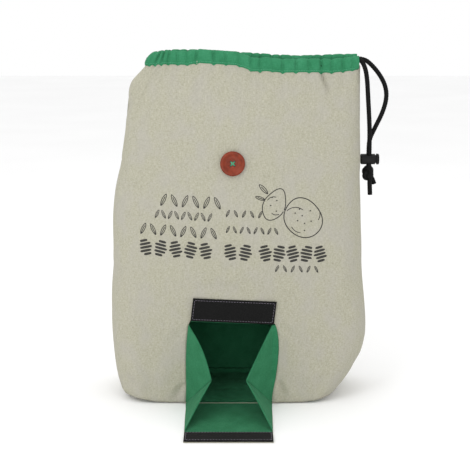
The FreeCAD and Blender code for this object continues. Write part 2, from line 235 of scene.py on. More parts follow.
def sweep(path, radius_at, sides, twist=0.0):
    """A closed tube along path; radius_at(angle, distance) gives its radius."""
    path = [Vector(p) for p in path]
    verts, faces = [], []
    along = 0.0
    tangent = (path[1] - path[0]).normalized()
    side = tangent.orthogonal().normalized()
    for i, p in enumerate(path):
        before, after = path[max(i - 1, 0)], path[min(i + 1, len(path) - 1)]
        new = (after - before).normalized()
        side = (tangent.rotation_difference(new) @ side).normalized()
        tangent = new
        if i:
            along += (p - path[i - 1]).length
        other = tangent.cross(side)
        for k in range(sides):
            angle = 2 * math.pi * k / sides
            r = radius_at(angle + twist * along, along)
            verts.append(p + side * (r * math.cos(angle)) + other * (r * math.sin(angle)))
    count = len(path)
    faces += grid_faces(count, sides, closed=True)
    for row, flip in ((0, True), (count - 1, False)):
        verts.append(path[row])
        centre = len(verts) - 1
        for k in range(sides):
            a, b = row * sides + k, row * sides + (k + 1) % sides
            faces.append((b, a, centre) if flip else (a, b, centre))
    return verts, faces


def join_parts(parts):
    """One list of vertices and one of faces from several."""
    verts, faces = [], []
    for v, f in parts:
        base = len(verts)
        verts += list(v)
        faces += [tuple(base + i for i in face) for face in f]
    return verts, faces


def even_points(points, step):
    """Points about step apart along a line of points."""
    pts = np.array([tuple(p) for p in points], float)
    length = np.concatenate([[0], np.cumsum(np.linalg.norm(np.diff(pts, axis=0), axis=1))])
    count = max(2, int(round(length[-1] / step)) + 1)
    at = np.linspace(0, length[-1], count)
    return [Vector([np.interp(s, length, pts[:, k]) for k in range(3)]) for s in at]


def stitch_row(points, normals, pitch, thread, gap=0.28):
    """A row of single stitches along points, each one a short arched thread."""
    pts = [Vector(p) for p in points]
    length = [0.0]
    for a, b in zip(pts, pts[1:]):
        length.append(length[-1] + (b - a).length)
    count = max(1, int(length[-1] / pitch))
    real = length[-1] / count

    def at(s):
        i = int(np.clip(np.searchsorted(length, s) - 1, 0, len(pts) - 2))
        t = (s - length[i]) / max(length[i + 1] - length[i], 1e-9)
        return pts[i].lerp(pts[i + 1], t), normals[i].lerp(normals[i + 1], t).normalized()

    parts = []
    for k in range(count):
        start, end = (k + gap / 2) * real, (k + 1 - gap / 2) * real
        line = []
        for j in range(5):
            t = j / 4
            p, n = at(start + (end - start) * t)
            line.append(p + n * (thread * (1.1 * math.sin(math.pi * t) - 0.55)))
        parts.append(sweep(line, lambda a, s: thread * 0.5, 6))
    return parts


# ------------------------------------------------------------------ materials


class Shader:
    """Builds one node material."""

    def __init__(self, name, roughness, **constants):
        self.material = bpy.data.materials.new(name)
        self.material.use_nodes = True
        self.nodes = self.material.node_tree.nodes
        self.links = self.material.node_tree.links
        self.bsdf = self.nodes["Principled BSDF"]
        self.bsdf.inputs["Roughness"].default_value = roughness
        for key, value in constants.items():
            self.bsdf.inputs[key.replace("_", " ")].default_value = value

    def node(self, kind, inputs=None, **settings):
        made = self.nodes.new("ShaderNode" + kind)
        for key, value in settings.items():
            setattr(made, key, value)
        for key, value in (inputs or {}).items():
            socket = made.inputs[key]
            if isinstance(value, bpy.types.NodeSocket):
                self.links.new(value, socket)
            else:
                socket.default_value = value
        return made

    def math(self, operation, a, b=0.0, clamp=False):
        return self.node("Math", {0: a, 1: b}, operation=operation, use_clamp=clamp).outputs[0]

    def mapped(self, coordinate, scale, turn=0.0):
        source = self.node("TexCoord").outputs[coordinate]
        return self.node("Mapping", {"Vector": source, "Scale": scale, "Rotation": (0, 0, turn)}).outputs[0]

    def noise(self, vector, scale, detail=2.0, rough=0.5):
        made = self.node("TexNoise", {"Vector": vector, "Scale": scale, "Detail": detail, "Roughness": rough})
        return made.outputs["Fac"]

    def ramp(self, factor, stops):
        made = self.node("ValToRGB", {"Fac": factor})
        band = made.color_ramp
        band.elements[0].position, band.elements[0].color = stops[0][0], (*stops[0][1], 1)
        band.elements[1].position, band.elements[1].color = stops[-1][0], (*stops[-1][1], 1)
        for position, color in stops[1:-1]:
            band.elements.new(position).color = (*color, 1)
        return made.outputs["Color"]

    def mix(self, factor, a, b, blend="MIX"):
        made = self.node("Mix", {"Factor": factor}, data_type="RGBA", blend_type=blend)
        for key, value in ((6, a), (7, b)):
            if isinstance(value, bpy.types.NodeSocket):
                self.links.new(value, made.inputs[key])
            else:
                made.inputs[key].default_value = (*value, 1)
        return made.outputs[2]

    def bump(self, height, distance, strength=1.0, after=None):
        inputs = {"Height": height, "Distance": distance, "Strength": strength}
        if after is not None:
            inputs["Normal"] = after
        return self.node("Bump", inputs).outputs[0]

    def finish(self, color, normal=None, roughness=None):
        for key, value in (("Base Color", color), ("Normal", normal), ("Roughness", roughness)):
            if value is not None:
                self.links.new(value, self.bsdf.inputs[key])
        return self.material


def weave_height(s, uv, pitch):
    """Height of a plain weave: threads pass over and under one another."""
    split = s.node("SeparateXYZ", {0: uv})
    across = s.math("SINE", s.math("MULTIPLY", split.outputs[0], math.pi / pitch))
    along = s.math("SINE", s.math("MULTIPLY", split.outputs[1], math.pi / pitch))
    return s.math("MULTIPLY", across, along)


def linen(name, inked=False):
    """Undyed linen and cotton canvas: slubby threads, faint grey and green patches."""
    s = Shader(name, 0.92, Sheen_Weight=0.04, Sheen_Roughness=0.6, Specular_IOR_Level=0.12)
    uv = s.node("TexCoord").outputs["UV"]
    upright = s.noise(s.mapped("UV", (1250, 330, 1)), 1.0, 3.0, 0.6)
    level = s.noise(s.mapped("UV", (330, 1250, 1)), 1.0, 3.0, 0.6)
    wide = s.noise(s.mapped("UV", (380, 95, 1)), 1.0, 2.0)
    patch = s.noise(s.mapped("UV", (44, 30, 1)), 1.0, 2.0)
    threads = s.math("MULTIPLY", s.math("ADD", upright, level), 0.5)
    fleck = s.math("ADD", s.math("MULTIPLY", threads, 0.86), s.math("MULTIPLY", wide, 0.14))
    color = s.ramp(fleck,
        [(0.32, (0.29, 0.28, 0.21)), (0.5, (0.405, 0.392, 0.308)), (0.68, (0.52, 0.505, 0.41))])
    grey = s.ramp(patch, [(0.42, (0.0, 0.0, 0.0)), (0.66, (1.0, 1.0, 1.0))])
    color = s.mix(s.math("MULTIPLY", grey, 0.34), color, (0.42, 0.40, 0.385))
    weave = weave_height(s, uv, WEAVE)
    height = s.math("ADD", s.math("MULTIPLY", weave, 0.35), s.math("MULTIPLY", threads, 1.5))
    if inked:
        ink = s.ramp(threads, [(0.42, (0.010, 0.010, 0.012)), (0.74, (0.05, 0.05, 0.05))])
        color = s.mix(0.93, color, ink)
    return s.finish(color, s.bump(height, 0.22 * MM))


def green_cotton(name, dark, base, light, pitch=0.4 * MM):
    """Dyed green cotton, fine and even."""
    s = Shader(name, 0.85, Sheen_Weight=0.03, Sheen_Roughness=0.5, Specular_IOR_Level=0.12)
    uv = s.node("TexCoord").outputs["UV"]
    fine = s.noise(s.mapped("UV", (1500, 220, 1)), 1.0, 2.0, 0.6)
    cross = s.noise(s.mapped("UV", (220, 1500, 1)), 1.0, 2.0, 0.6)
    worn = s.noise(s.mapped("UV", (70, 55, 1)), 1.0, 3.0)
    fleck = s.math("MULTIPLY", s.math("ADD", fine, cross), 0.5)
    mixed = s.math("ADD", s.math("MULTIPLY", fleck, 0.6), s.math("MULTIPLY", worn, 0.4))
    color = s.ramp(mixed, [(0.33, dark), (0.5, base), (0.68, light)])
    height = s.math("ADD", s.math("MULTIPLY", weave_height(s, uv, pitch), 0.4), fleck)
    return s.finish(color, s.bump(height, 0.12 * MM))


def black_tape(name, scale, bump_size):
    """Nylon pile or hooks on a woven strip."""
    s = Shader(name, 0.8, Sheen_Weight=0.03, Sheen_Roughness=0.4, Specular_IOR_Level=0.15)
    at = s.node("TexCoord").outputs["Object"]
    pile = s.noise(at, scale, 3.0, 0.65)
    cells = s.node("TexVoronoi", {"Vector": at, "Scale": scale * 0.6}).outputs["Distance"]
    color = s.ramp(pile, [(0.35, (0.003, 0.003, 0.003)), (0.6, (0.009, 0.009, 0.009)),
        (0.8, (0.03, 0.029, 0.031))])
    height = s.math("ADD", pile, s.math("MULTIPLY", cells, 0.7))
    return s.finish(color, s.bump(height, bump_size))


def thread(name, dark, light):
    """Twisted sewing thread."""
    s = Shader(name, 0.6, Sheen_Weight=0.3, Specular_IOR_Level=0.35)
    at = s.node("TexCoord").outputs["Object"]
    ply = s.noise(at, 2600, 2.0)
    return s.finish(s.ramp(ply, [(0.35, dark), (0.65, light)]), s.bump(ply, 0.06 * MM))


def braid(name):
    """Black braided cord, dull."""
    s = Shader(name, 0.62, Specular_IOR_Level=0.06)
    at = s.node("TexCoord").outputs["Object"]
    fibre = s.noise(at, 1900, 3.0, 0.6)
    color = s.ramp(fibre, [(0.35, (0.003, 0.003, 0.003)), (0.7, (0.016, 0.016, 0.016))])
    return s.finish(color, s.bump(fibre, 0.08 * MM))


def moulded(name, dark, light, roughness, grain):
    """Moulded plastic with a fine surface grain."""
    s = Shader(name, roughness, Specular_IOR_Level=0.22)
    at = s.node("TexCoord").outputs["Object"]
    mottle = s.noise(at, 160, 3.0, 0.6)
    fine = s.noise(at, 2400, 2.0)
    color = s.ramp(mottle, [(0.35, dark), (0.65, light)])
    rough = s.math("ADD", s.math("MULTIPLY", fine, 0.16), roughness - 0.08)
    return s.finish(color, s.bump(fine, grain), rough)


def wire_steel(name):
    s = Shader(name, 0.3, Metallic=1.0)
    at = s.node("TexCoord").outputs["Object"]
    drawn = s.noise(at, 900, 2.0)
    return s.finish(s.ramp(drawn, [(0.3, (0.45, 0.45, 0.46)), (0.7, (0.7, 0.7, 0.71))]))


def floor_paint(name):
    s = Shader(name, 0.9, Specular_IOR_Level=0.05)
    at = s.node("TexCoord").outputs["Object"]
    cloud = s.noise(at, 3.0, 1.0)
    return s.finish(s.ramp(cloud, [(0.3, (0.94, 0.94, 0.94)), (0.7, (0.96, 0.96, 0.96))]))


CANVAS = linen("linen_canvas")
INK = linen("ink_on_canvas", inked=True)
BAND_GREEN = green_cotton("green_band_cotton", (0.022, 0.165, 0.072), (0.034, 0.215, 0.1),
    (0.055, 0.27, 0.14))
LINING_GREEN = green_cotton("green_lining_cotton", (0.016, 0.13, 0.055), (0.026, 0.17, 0.076),
    (0.042, 0.22, 0.105))
LOOP_TAPE = black_tape("loop_tape_nylon", 1500, 0.5 * MM)
HOOK_TAPE = black_tape("hook_tape_nylon", 1100, 0.4 * MM)
TAPE_THREAD = thread("grey_tape_thread", (0.10, 0.085, 0.115), (0.24, 0.21, 0.26))
GREEN_THREAD = thread("green_sewing_thread", (0.03, 0.25, 0.12), (0.08, 0.45, 0.25))
CORD_BRAID = braid("black_cord_braid")
LOCK_PLASTIC = moulded("black_lock_plastic", (0.003, 0.003, 0.003), (0.007, 0.007, 0.007), 0.55, 0.02 * MM)
BUTTON_PLASTIC = moulded("red_brown_button", (0.15, 0.022, 0.008), (0.235, 0.035, 0.012), 0.36, 0.006 * MM)
SPRING_WIRE = wire_steel("spring_wire")


# ------------------------------------------------------------------ the bag's body


def half_outline(tree, z, count=150):
    """The back half's outline at a height, from the left seam to the right one."""
    reach = 0.5
    left = tree.ray_cast(Vector((-reach, 1e-4, z)), Vector((1, 0, 0)))[0].x
    right = tree.ray_cast(Vector((reach, 1e-4, z)), Vector((-1, 0, 0)))[0].x
    middle, half = (left + right) / 2, (right - left) / 2
    points = [(left, 0.0)]
    for k in range(1, count):
        x = middle - half * 0.9999 * math.cos(math.pi * k / count)
        hit = tree.ray_cast(Vector((x, reach, z)), Vector((0, -1, 0)))[0]
        points.append((x, hit.y))
    points.append((right, 0.0))
    return np.array(points)


def body_grid():
    """The smooth body: x, y, z, cloth coordinate and distance round for every row and column."""
    tree = surface_tree(["outer_back_panel"])
    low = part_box("outer_back_panel")[0].z + 0.2 * MM
    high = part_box("outer_back_panel")[1].z - 0.2 * MM
    top = high + UNDER_BAND
    heights = np.concatenate([np.linspace(low, HATCH_TOP, ROWS_HATCH + 1),
        np.linspace(HATCH_TOP, top, ROWS_ABOVE + 1)[1:]])
    xs, ys, arcs, rounds = [], [], [], []
    for z in heights:
        outline = half_outline(tree, min(z, high))
        steps = np.hypot(*np.diff(outline, axis=0).T)
        length = np.concatenate([[0], np.cumsum(steps)])
        marks = [0, np.interp(-HATCH_HALF, outline[:, 0], length),
            np.interp(HATCH_HALF, outline[:, 0], length), length[-1]]
        counts = (COLUMNS_LEFT, COLUMNS_HATCH, COLUMNS_RIGHT)
        front = np.concatenate([np.linspace(a, b, n, endpoint=False) for a, b,
            n in zip(marks, marks[1:], counts)])
        back = np.linspace(length[-1], 0, COLUMNS_BACK, endpoint=False)
        both = np.concatenate([front, back])
        xs.append(np.interp(both, length, outline[:, 0]))
        sign = np.where(np.arange(len(both)) < FRONT_COLUMNS, -1, 1)
        ys.append(sign * np.interp(both, length, outline[:, 1]))
        # the cloth's upright threads are counted from here
        middle = np.interp(THREAD_LINE, outline[:, 0], length)
        arcs.append(np.concatenate([front - middle, middle - back]))
        rounds.append(np.concatenate([front, 2 * length[-1] - back]))
    x, y, arc, round_it = np.array(xs), np.array(ys), np.array(arcs), np.array(rounds)
    for _ in range(6):  # takes out the solid's facets
        y[1:-1] = (y[:-2] + 2 * y[1:-1] + y[2:]) / 4
        x[1:-1] = (x[:-2] + 2 * x[1:-1] + x[2:]) / 4
    z = np.repeat(heights[:, None], x.shape[1], axis=1)
    for side, rows in ((-1, TRIM_LEFT), (1, TRIM_RIGHT)):
        x = x - side * smoothstep(55 * MM, 128 * MM, side * x) * table(z, rows)
    return x, y, z, arc, round_it


def table(x, rows):
    """A value read from a short table in mm, in metres."""
    places, values = zip(*rows)
    return np.interp(x / MM, places, values) * MM


def mouth_level(x, y):
    """How far the mouth's edge stands above its own level, at x, y."""
    front = smoothstep(-6 * MM, 6 * MM, -y)
    return table(x, SAG_FRONT) * front + table(x, SAG_BACK) * (1 - front)


def left_lean(x, share):
    """The gathered left end leans in towards its top."""
    return smoothstep(-55 * MM, -92 * MM, x) * share * MM


def back_pleats():
    """Uneven pleats across the back, from a fixed seed."""
    draw = random.Random(11)
    pleats, x = [], -88.0
    while x < 132:
        pleats.append((x, draw.uniform(0.8, 2.0), draw.uniform(-0.2, 0.2), draw.uniform(8, 26)))
        x += draw.uniform(8.5, 15.5)
    return pleats


BACK_PLEATS = back_pleats()


def pleat_depth(x, below, pleats):
    """How far pleats draw the cloth in at x, in metres, at a distance below the band."""
    total = np.zeros_like(x)
    down = np.maximum(below, 0) / MM
    for place, depth, lean, reach in pleats:
        width = 1.7 + 0.16 * down
        gap = (x / MM - place - lean * below / MM) / width
        total += depth * np.exp(-gap**2) * np.exp(-down / reach)
    return total * MM


def fold_depth(x, z, folds):
    """How far soft folds draw the cloth in at x, z, in metres."""
    total = np.zeros_like(x)
    for x0, z0, x1, z1, width, depth in folds:
        ax, az = (x1 - x0) * MM, (z1 - z0) * MM
        length2 = ax * ax + az * az
        t = ((x - x0 * MM) * ax + (z - z0 * MM) * az) / length2
        across = ((x - x0 * MM) * az - (z - z0 * MM) * ax) / math.sqrt(length2)
        ends = smoothstep(-0.12, 0.15, t) * (1 - smoothstep(0.55, 1.1, t))
        gap = across / (width * MM * (0.8 + 0.5 * np.clip(t, 0, 1)))
        total += depth * MM * ends * (np.exp(-gap**2) - 0.35 * np.exp(-((np.abs(gap) - 1.9) ** 2)))
    return total


def drape(x, y, z, round_it):
    """Turns the smooth body into gathered, creased cloth."""
    front = np.arange(x.shape[1]) < FRONT_COLUMNS
    # outward direction in plan, from neighbours round the outline
    dx = np.roll(x, -1, 1) - np.roll(x, 1, 1)
    dy = np.roll(y, -1, 1) - np.roll(y, 1, 1)
    size = np.hypot(dx, dy) + 1e-9
    nx, ny = dy / size, -dx / size
    flip = np.where((nx * (x - x.mean()) + ny * y).mean() < 0, -1, 1)
    nx, ny = nx * flip, ny * flip

    top = BAND_FOOT
    below = top - z
    inwards = np.zeros_like(x)
    inwards[:, front] += pleat_depth(x[:, front], below[:, front], FRONT_PLEATS)
    inwards[:, ~front] += pleat_depth(x[:, ~front], below[:, ~front], BACK_PLEATS)
    inwards[:, front] += fold_depth(x[:, front], z[:, front], FRONT_FOLDS)
    inwards[:, ~front] += fold_depth(x[:, ~front], z[:, ~front], BACK_FOLDS)
    inwards -= 0.7 * MM * np.exp(-np.maximum(below, 0) / (22 * MM))

    points = np.stack([x.ravel(), y.ravel(), z.ravel()], 1)
    broad = noise_at(points * (1, 1, 0.6), 0.055, 3).reshape(x.shape)
    mid = noise_at(points * (1, 1, 0.5), 0.019, 5).reshape(x.shape)
    calm = smoothstep(0, 40 * MM, z)
    inwards += broad * 1.3 * MM * (0.4 + 0.6 * calm) + mid * 0.32 * MM

    # the side seams draw the cloth in, with small puckers
    whole = round_it[:, -1:] + (round_it[:, -1:] - round_it[:, -2:-1])
    seam_gap = np.minimum(np.minimum(round_it, whole - round_it), np.abs(round_it - whole / 2))
    pucker = 0.5 + 0.5 * np.sin(z / (3.1 * MM) + 2 * np.sin(z / (17 * MM)))
    inwards += (0.7 + 0.5 * pucker) * MM * np.exp(-((seam_gap / (2.2 * MM)) ** 2))
    # the base seam, at the foot
    foot = np.exp(-((z - z.min()) / (2.2 * MM)) ** 2)
    ripple = 0.5 + 0.5 * np.sin(round_it / (2.6 * MM) + 3 * np.sin(round_it / (21 * MM)))
    inwards += foot * (1.1 + 0.7 * ripple) * MM

    # the opening's sides bow apart, and its top edge runs a little down to the right
    for side, rows in ((-1, OPENING_LEFT), (1, OPENING_RIGHT)):
        near = np.exp(-(((x - side * HATCH_HALF) / (13 * MM)) ** 2)) * front[None, :]
        above = 1 - smoothstep(HATCH_TOP, HATCH_TOP + 16 * MM, z)
        x = x + near * above * (table(z, rows) - side * HATCH_HALF)
    slope = np.exp(-(((z - HATCH_TOP) / (14 * MM)) ** 2)) * smoothstep(90 * MM, 50 * MM,
        np.abs(x)) * front[None, :]
    z = z + slope * (2.0 * MM - x * 0.03)
    # the base's corners carry nothing and stand a little off the floor
    z = z + smoothstep(70 * MM, 122 * MM, np.abs(x - 3 * MM)) * (1 - smoothstep(0, 34 * MM, z)) * 5.5 * MM
    lift = smoothstep(HATCH_TOP * 1.6, 0, z) * front[None,
        :] * np.exp(-(((np.abs(x) - HATCH_HALF) / (7 * MM)) ** 2))
    inwards -= 0.5 * MM * lift

    # under the button the cloth is drawn in
    bx, bz = BUTTON_AT.x, BUTTON_AT.z
    pull = np.hypot(x - bx, z - bz) / (9 * MM)
    inwards += 0.9 * MM * np.exp(-(pull**2)) * front[None, :]

    sag = mouth_level(x, y) * smoothstep(290 * MM, top, z)
    lean = left_lean(x, 2.5 * smoothstep(340 * MM, top, z))
    return x - nx * inwards + lean, y - ny * inwards, z + sag, nx, ny


BUTTON_LEAN = 0.16  # the front leans back by this much at the button
button_low, button_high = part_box("button")
BUTTON_AT = (button_low + button_high) / 2


def hatch_hole(row, column):
    """Whether a quad of the body's grid lies in the hatch opening."""
    return row < ROWS_HATCH and COLUMNS_LEFT <= column < COLUMNS_LEFT + COLUMNS_HATCH


def make_body():
    """Canvas and lining from one grid, each with the hatch opening left out."""
    gx, gy, gz, arc, round_it = body_grid()
    x, y, z, nx, ny = drape(gx, gy, gz, round_it)
    rows, columns = x.shape
    uv = np.stack([arc.ravel(), gz.ravel()], 1)
    faces = grid_faces(rows, columns, closed=True, skip=hatch_hole)
    used = sorted({i for f in faces for i in f})
    number = {old: new for new, old in enumerate(used)}
    faces = [tuple(number[i] for i in f) for f in faces]

    def cloth(name, inset, low, material, slot, thickness):
        ix, iy = x - nx * inset, y - ny * inset
        iz = np.maximum(z, low)
        points = np.stack([ix.ravel(), iy.ravel(), iz.ravel()], 1)[used]
        made = piece(name, points, faces, material, None, uv[used])
        thicken(made, thickness, offset=-1.0)
        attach(made, "root")
        return made

    canvas = cloth("canvas_body", 0.0, 0.3 * MM, CANVAS, "canvas", CANVAS_THICK)
    lining = cloth("lining_body", LINING_INSET, 1.9 * MM, LINING_GREEN, "lining", LINING_THICK)
    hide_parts("outer_front_panel", "outer_back_panel")
    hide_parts("lining_front", "lining_back")
    edges = []
    for column in (COLUMNS_LEFT, COLUMNS_LEFT + COLUMNS_HATCH):
        rows_in = slice(0, ROWS_HATCH + 1)
        edges.append((z[rows_in, column], x[rows_in, column], y[rows_in, column]))
    return canvas, (x[0], y[0], z[0], nx[0], ny[0]), edges


def make_base(ring):
    """The canvas base on the floor, and the creased lining over it."""
    x, y, z, nx, ny = ring
    columns = len(x)
    rings = 26
    front = np.arange(columns) < FRONT_COLUMNS
    for name, inset, floor, rough, material, slot, node in (
        ("canvas_base", 0.6 * MM, 0.15 * MM, 0.0, CANVAS, "canvas", "outer_base_panel"),
        ("lining_base_cloth", 2.2 * MM, 1.7 * MM, 1.5 * MM, LINING_GREEN, "lining", "lining_base"),
    ):
        ox, oy = x - nx * inset, y - ny * inset
        if name == "canvas_base":  # its front edge runs out to the flap's fold
            in_hatch = front & (np.abs(x) <= HATCH_HALF + 0.5 * MM)
            oy = np.where(in_hatch, HINGE[1] + 2.4 * MM, oy)
        verts, uv = [], []
        for k in range(rings):
            t = k / rings
            px, py = ox * (1 - t), oy * (1 - t)
            level = np.maximum(floor, z * (1 - smoothstep(0, 0.22, t)))
            if rough:
                inner = 1 - smoothstep(HATCH_HALF * 0.8, HATCH_HALF * 1.1,
                    np.abs(x)) * front - 0.8 * (np.abs(x) < HATCH_HALF) * front
                level = level + 4.4 * MM * np.clip(inner, 0, 1) * (1 - smoothstep(0, 0.16, t)) ** 2
                points = np.stack([px, py, np.zeros(columns)], 1)
                rise = noise_at(points * (0.5, 1.0, 1), 0.021, 8) + 0.5 * noise_at(points, 0.009, 9)
                level = level + rough * smoothstep(0, 0.14, t) * (0.6 + rise)
                level = np.maximum(level, floor)
            verts += list(np.stack([px, py, level], 1))
            uv += list(np.stack([px, py], 1))
        verts.append((0, 0, floor + rough * 0.6))
        uv.append((0, 0))
        faces = grid_faces(rings, columns, closed=True)
        last = (rings - 1) * columns
        faces += [(last + c, last + (c + 1) % columns, len(verts) - 1) for c in range(columns)]
        made = piece(name, verts, faces, material, None, uv)
        flip_up(made)
        thicken(made, 0.5 * MM, offset=1.0)
        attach(made, "root")
        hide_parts(node)


def flip_up(obj):
    """Turns a flat cloth's faces upwards."""
    mesh = bmesh.new()
    mesh.from_mesh(obj.data)
    bmesh.ops.recalc_face_normals(mesh, faces=mesh.faces)
    if sum(f.normal.z * f.calc_area() for f in mesh.faces) < 0:
        bmesh.ops.reverse_faces(mesh, faces=mesh.faces)
    mesh.to_mesh(obj.data)
    mesh.free()


# ------------------------------------------------------------------ the casing band


BAND_PROFILE = [  # outward place and height of the folded band's section, in mm; it starts on the canvas
    (0.35, -0.1), (0.62, 0.5), (0.95, 1.7), (1.15, 3.2), (1.2, 5.2), (1.15, 7.4), (0.9, 9.4), (0.35, 11.2),
        (-0.6, 12.6),
    (-1.9, 13.45), (-3.4, 13.55), (-4.8, 12.7), (-5.8, 10.8), (-6.2, 8.2), (-6.1, 5.5), (-5.4, 3.2),
        (-3.6, 1.4), (-2.6, 0.2),
]
BAND_TOP_UP = 13.55
BAND_STRETCH = 1.05


def band_outline(side):
    """Half of the casing's outer face at mid height, as even points from its left end to its right."""
    tree = surface_tree(["casing_back"])
    z = (BAND_LOW.z + BAND_HIGH.z) / 2
    left, right = BAND_LOW.x, BAND_HIGH.x
    outline = [(left, 0.0, 0)]
    for share in np.linspace(0, 1, 420)[1:]:
        x = left + (right - left) * (1 - math.cos(0.5 * math.pi * share)) * 0.999999
        hit = tree.ray_cast(Vector((x, 0.5, z)), Vector((0, -1, 0)))[0]
        if hit:
            outline.append((x, hit.y, 0))
    even = even_points(outline, 0.7 * MM)
    px = np.array([p.x for p in even])
    py = np.array([p.y * side for p in even])
    tx, ty = np.gradient(px), np.gradient(py)
    size = np.hypot(tx, ty)
    nx, ny = -ty / size * side, tx / size * side
    return px, py, nx, ny


def make_band(canvas):
    """Two gathered halves of the casing, open at the right and joined at the left seam."""
    cloth = surface_tree(canvas)
    for side, name in ((-1, "front"), (1, "back")):
        pleats = FRONT_PLEATS if side < 0 else BACK_PLEATS
        px, py, nx, ny = band_outline(side)
        steps = np.hypot(np.diff(px), np.diff(py))
        length = np.concatenate([[0], np.cumsum(steps)])
        depth = pleat_depth(px, np.zeros_like(px), pleats)
        jitter = noise_at(np.stack([px, py, np.zeros_like(px)], 1), 0.0045, 4 + side)
        crumple = noise_at(np.stack([px, py, np.zeros_like(px)], 1), 0.012, 14 + side)
        foot_lean = left_lean(px, 3.5)
        verts, uv = [], []
        for row, (out, up) in enumerate(BAND_PROFILE):
            share = max(up, 0) / BAND_TOP_UP
            shifted = px + left_lean(px, 7.5 * share)
            here = pleat_depth(px + crumple * 1.5 * MM * share, np.zeros_like(px), pleats)
            face = np.clip((out + 2.6) / 3.4, -0.9, 1.0)  # outer face 1, top fold 0, inner face -1
            swell = (1.0 * math.sin(math.pi * min(1, share * 1.15)) + 0.3) * MM - here * 1.7 * min(1,
                0.45 + share)
            swell = np.maximum(swell, -2.4 * MM)
            n = out * MM + swell * face + jitter * 0.2 * MM * face
            dip = depth * 1.0 * (1 - smoothstep(0, 0.2, share)) + here * 0.55 * smoothstep(0.7, 1.0, share)
            level = BAND_FOOT + up * BAND_STRETCH * MM + mouth_level(px,
                py) - dip + (jitter * 0.3 + crumple * 0.35) * MM * share
            qx, qy = shifted + nx * n + foot_lean, py + ny * n
            if row < 4:  # the lower edge lies on the canvas
                for k in range(len(px)):
                    start = Vector((qx[k] + nx[k] * 0.03, qy[k] + ny[k] * 0.03, level[k] - 0.6 * MM))
                    hit = cloth.ray_cast(start, Vector((-nx[k], -ny[k], 0)), 0.045)[0]
                    if hit:
                        on = 1 - smoothstep(0, 3.4, row + 0.4)
                        qx[k] = qx[k] * (1 - on) + (hit.x + nx[k] * out * MM) * on
                        qy[k] = qy[k] * (1 - on) + (hit.y + ny[k] * out * MM) * on
            verts += list(np.stack([qx, qy, level], 1))
            uv += list(np.stack([length, np.full_like(length, up * MM)], 1))
        made = piece("casing_band_" + name, verts, grid_faces(len(BAND_PROFILE), len(px)), BAND_GREEN, None,
            uv)
        outwards(made, Vector((0, side, 0)))
        thicken(made, BAND_CLOTH, offset=-1.0)
        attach(made, "root")
        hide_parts("casing_" + name)

        row = [Vector(v) for v in verts[2 * len(px) : 3 * len(px)]][4:-4:2]
        normals = [Vector((a, b, 0)) for a, b in zip(nx, ny)][4:-4:2]
        row = [p + n * 0.12 * MM for p, n in zip(row, normals)]
        v, f = join_parts(stitch_row(row, normals, 2.3 * MM, 0.36 * MM))
        piece("casing_stitches_" + name, v, f, GREEN_THREAD, "root")


def outwards(obj, direction):
    """Turns an open cloth so that its outer face looks the given way."""
    mesh = bmesh.new()
    mesh.from_mesh(obj.data)
    bmesh.ops.recalc_face_normals(mesh, faces=mesh.faces)
    mesh.faces.ensure_lookup_table()
    far = max(mesh.faces, key=lambda f: f.calc_center_median().dot(direction))
    if far.normal.dot(direction) < 0:
        bmesh.ops.reverse_faces(mesh, faces=mesh.faces)
    mesh.to_mesh(obj.data)
    mesh.free()


# ------------------------------------------------------------------ tapes


TAPE_LONG = 89.0 * MM
TAPE_WIDE = 25.0 * MM
TAPE_TILT = math.radians(-2.4)
SKEW = 2.0 * MM
TAPE_STITCH = (2.9 * MM, 0.42 * MM)  # spacing and width of the sewing round both tapes


def slab(columns, rows, at, thickness, edge=0.7 * MM):
    """A thin slab with rounded edges: at(u, v) is the place and normal of its face."""
    verts, faces = [], []
    for c in range(columns + 1):
        for r in range(rows + 1):
            u, v = c / columns, r / rows
            place, normal, inset = at(u, v)
            round_down = max(0.0, 1 - inset / edge)
            verts.append(place + normal * (thickness * (1 - 0.45 * round_down**2)))
    count = len(verts)
    for c in range(columns + 1):
        for r in range(rows + 1):
            place, normal, _ = at(c / columns, r / rows)
            verts.append(place.copy())
    wide = rows + 1

    def index(c, r, layer=0):
        return layer * count + c * wide + r

    for c in range(columns):
        for r in range(rows):
            faces.append((index(c, r), index(c + 1, r), index(c + 1, r + 1), index(c, r + 1)))
            faces.append((index(c, r, 1), index(c, r + 1, 1), index(c + 1, r + 1, 1), index(c + 1, r, 1)))
    for c in range(columns):
        faces.append((index(c, 0), index(c, 0, 1), index(c + 1, 0, 1), index(c + 1, 0)))
        faces.append((index(c, rows), index(c + 1, rows), index(c + 1, rows, 1), index(c, rows, 1)))
    for r in range(rows):
        faces.append((index(0, r), index(0, r + 1), index(0, r + 1, 1), index(0, r, 1)))
        faces.append((index(columns, r), index(columns, r, 1), index(columns, r + 1, 1),
            index(columns, r + 1)))
    return verts, faces


def rectangle_path(at, inset_u, inset_v, step=2.0 * MM):
    """Points and normals round a rectangle set in from a slab's edges."""
    u0, v0 = inset_u / TAPE_LONG, inset_v / TAPE_WIDE
    corners = [(u0, v0), (1 - u0, v0), (1 - u0, 1 - v0), (u0, 1 - v0), (u0, v0)]
    sides = []
    for (ua, va), (ub, vb) in zip(corners, corners[1:]):
        count = max(2, int(math.hypot((ub - ua) * TAPE_LONG, (vb - va) * TAPE_WIDE) / step))
        points, normals = [], []
        for k in range(count + 1):
            t = k / count
            place, normal, _ = at(ua + (ub - ua) * t, va + (vb - va) * t)
            points.append(place)
            normals.append(normal)
        sides.append((points, normals))
    return sides


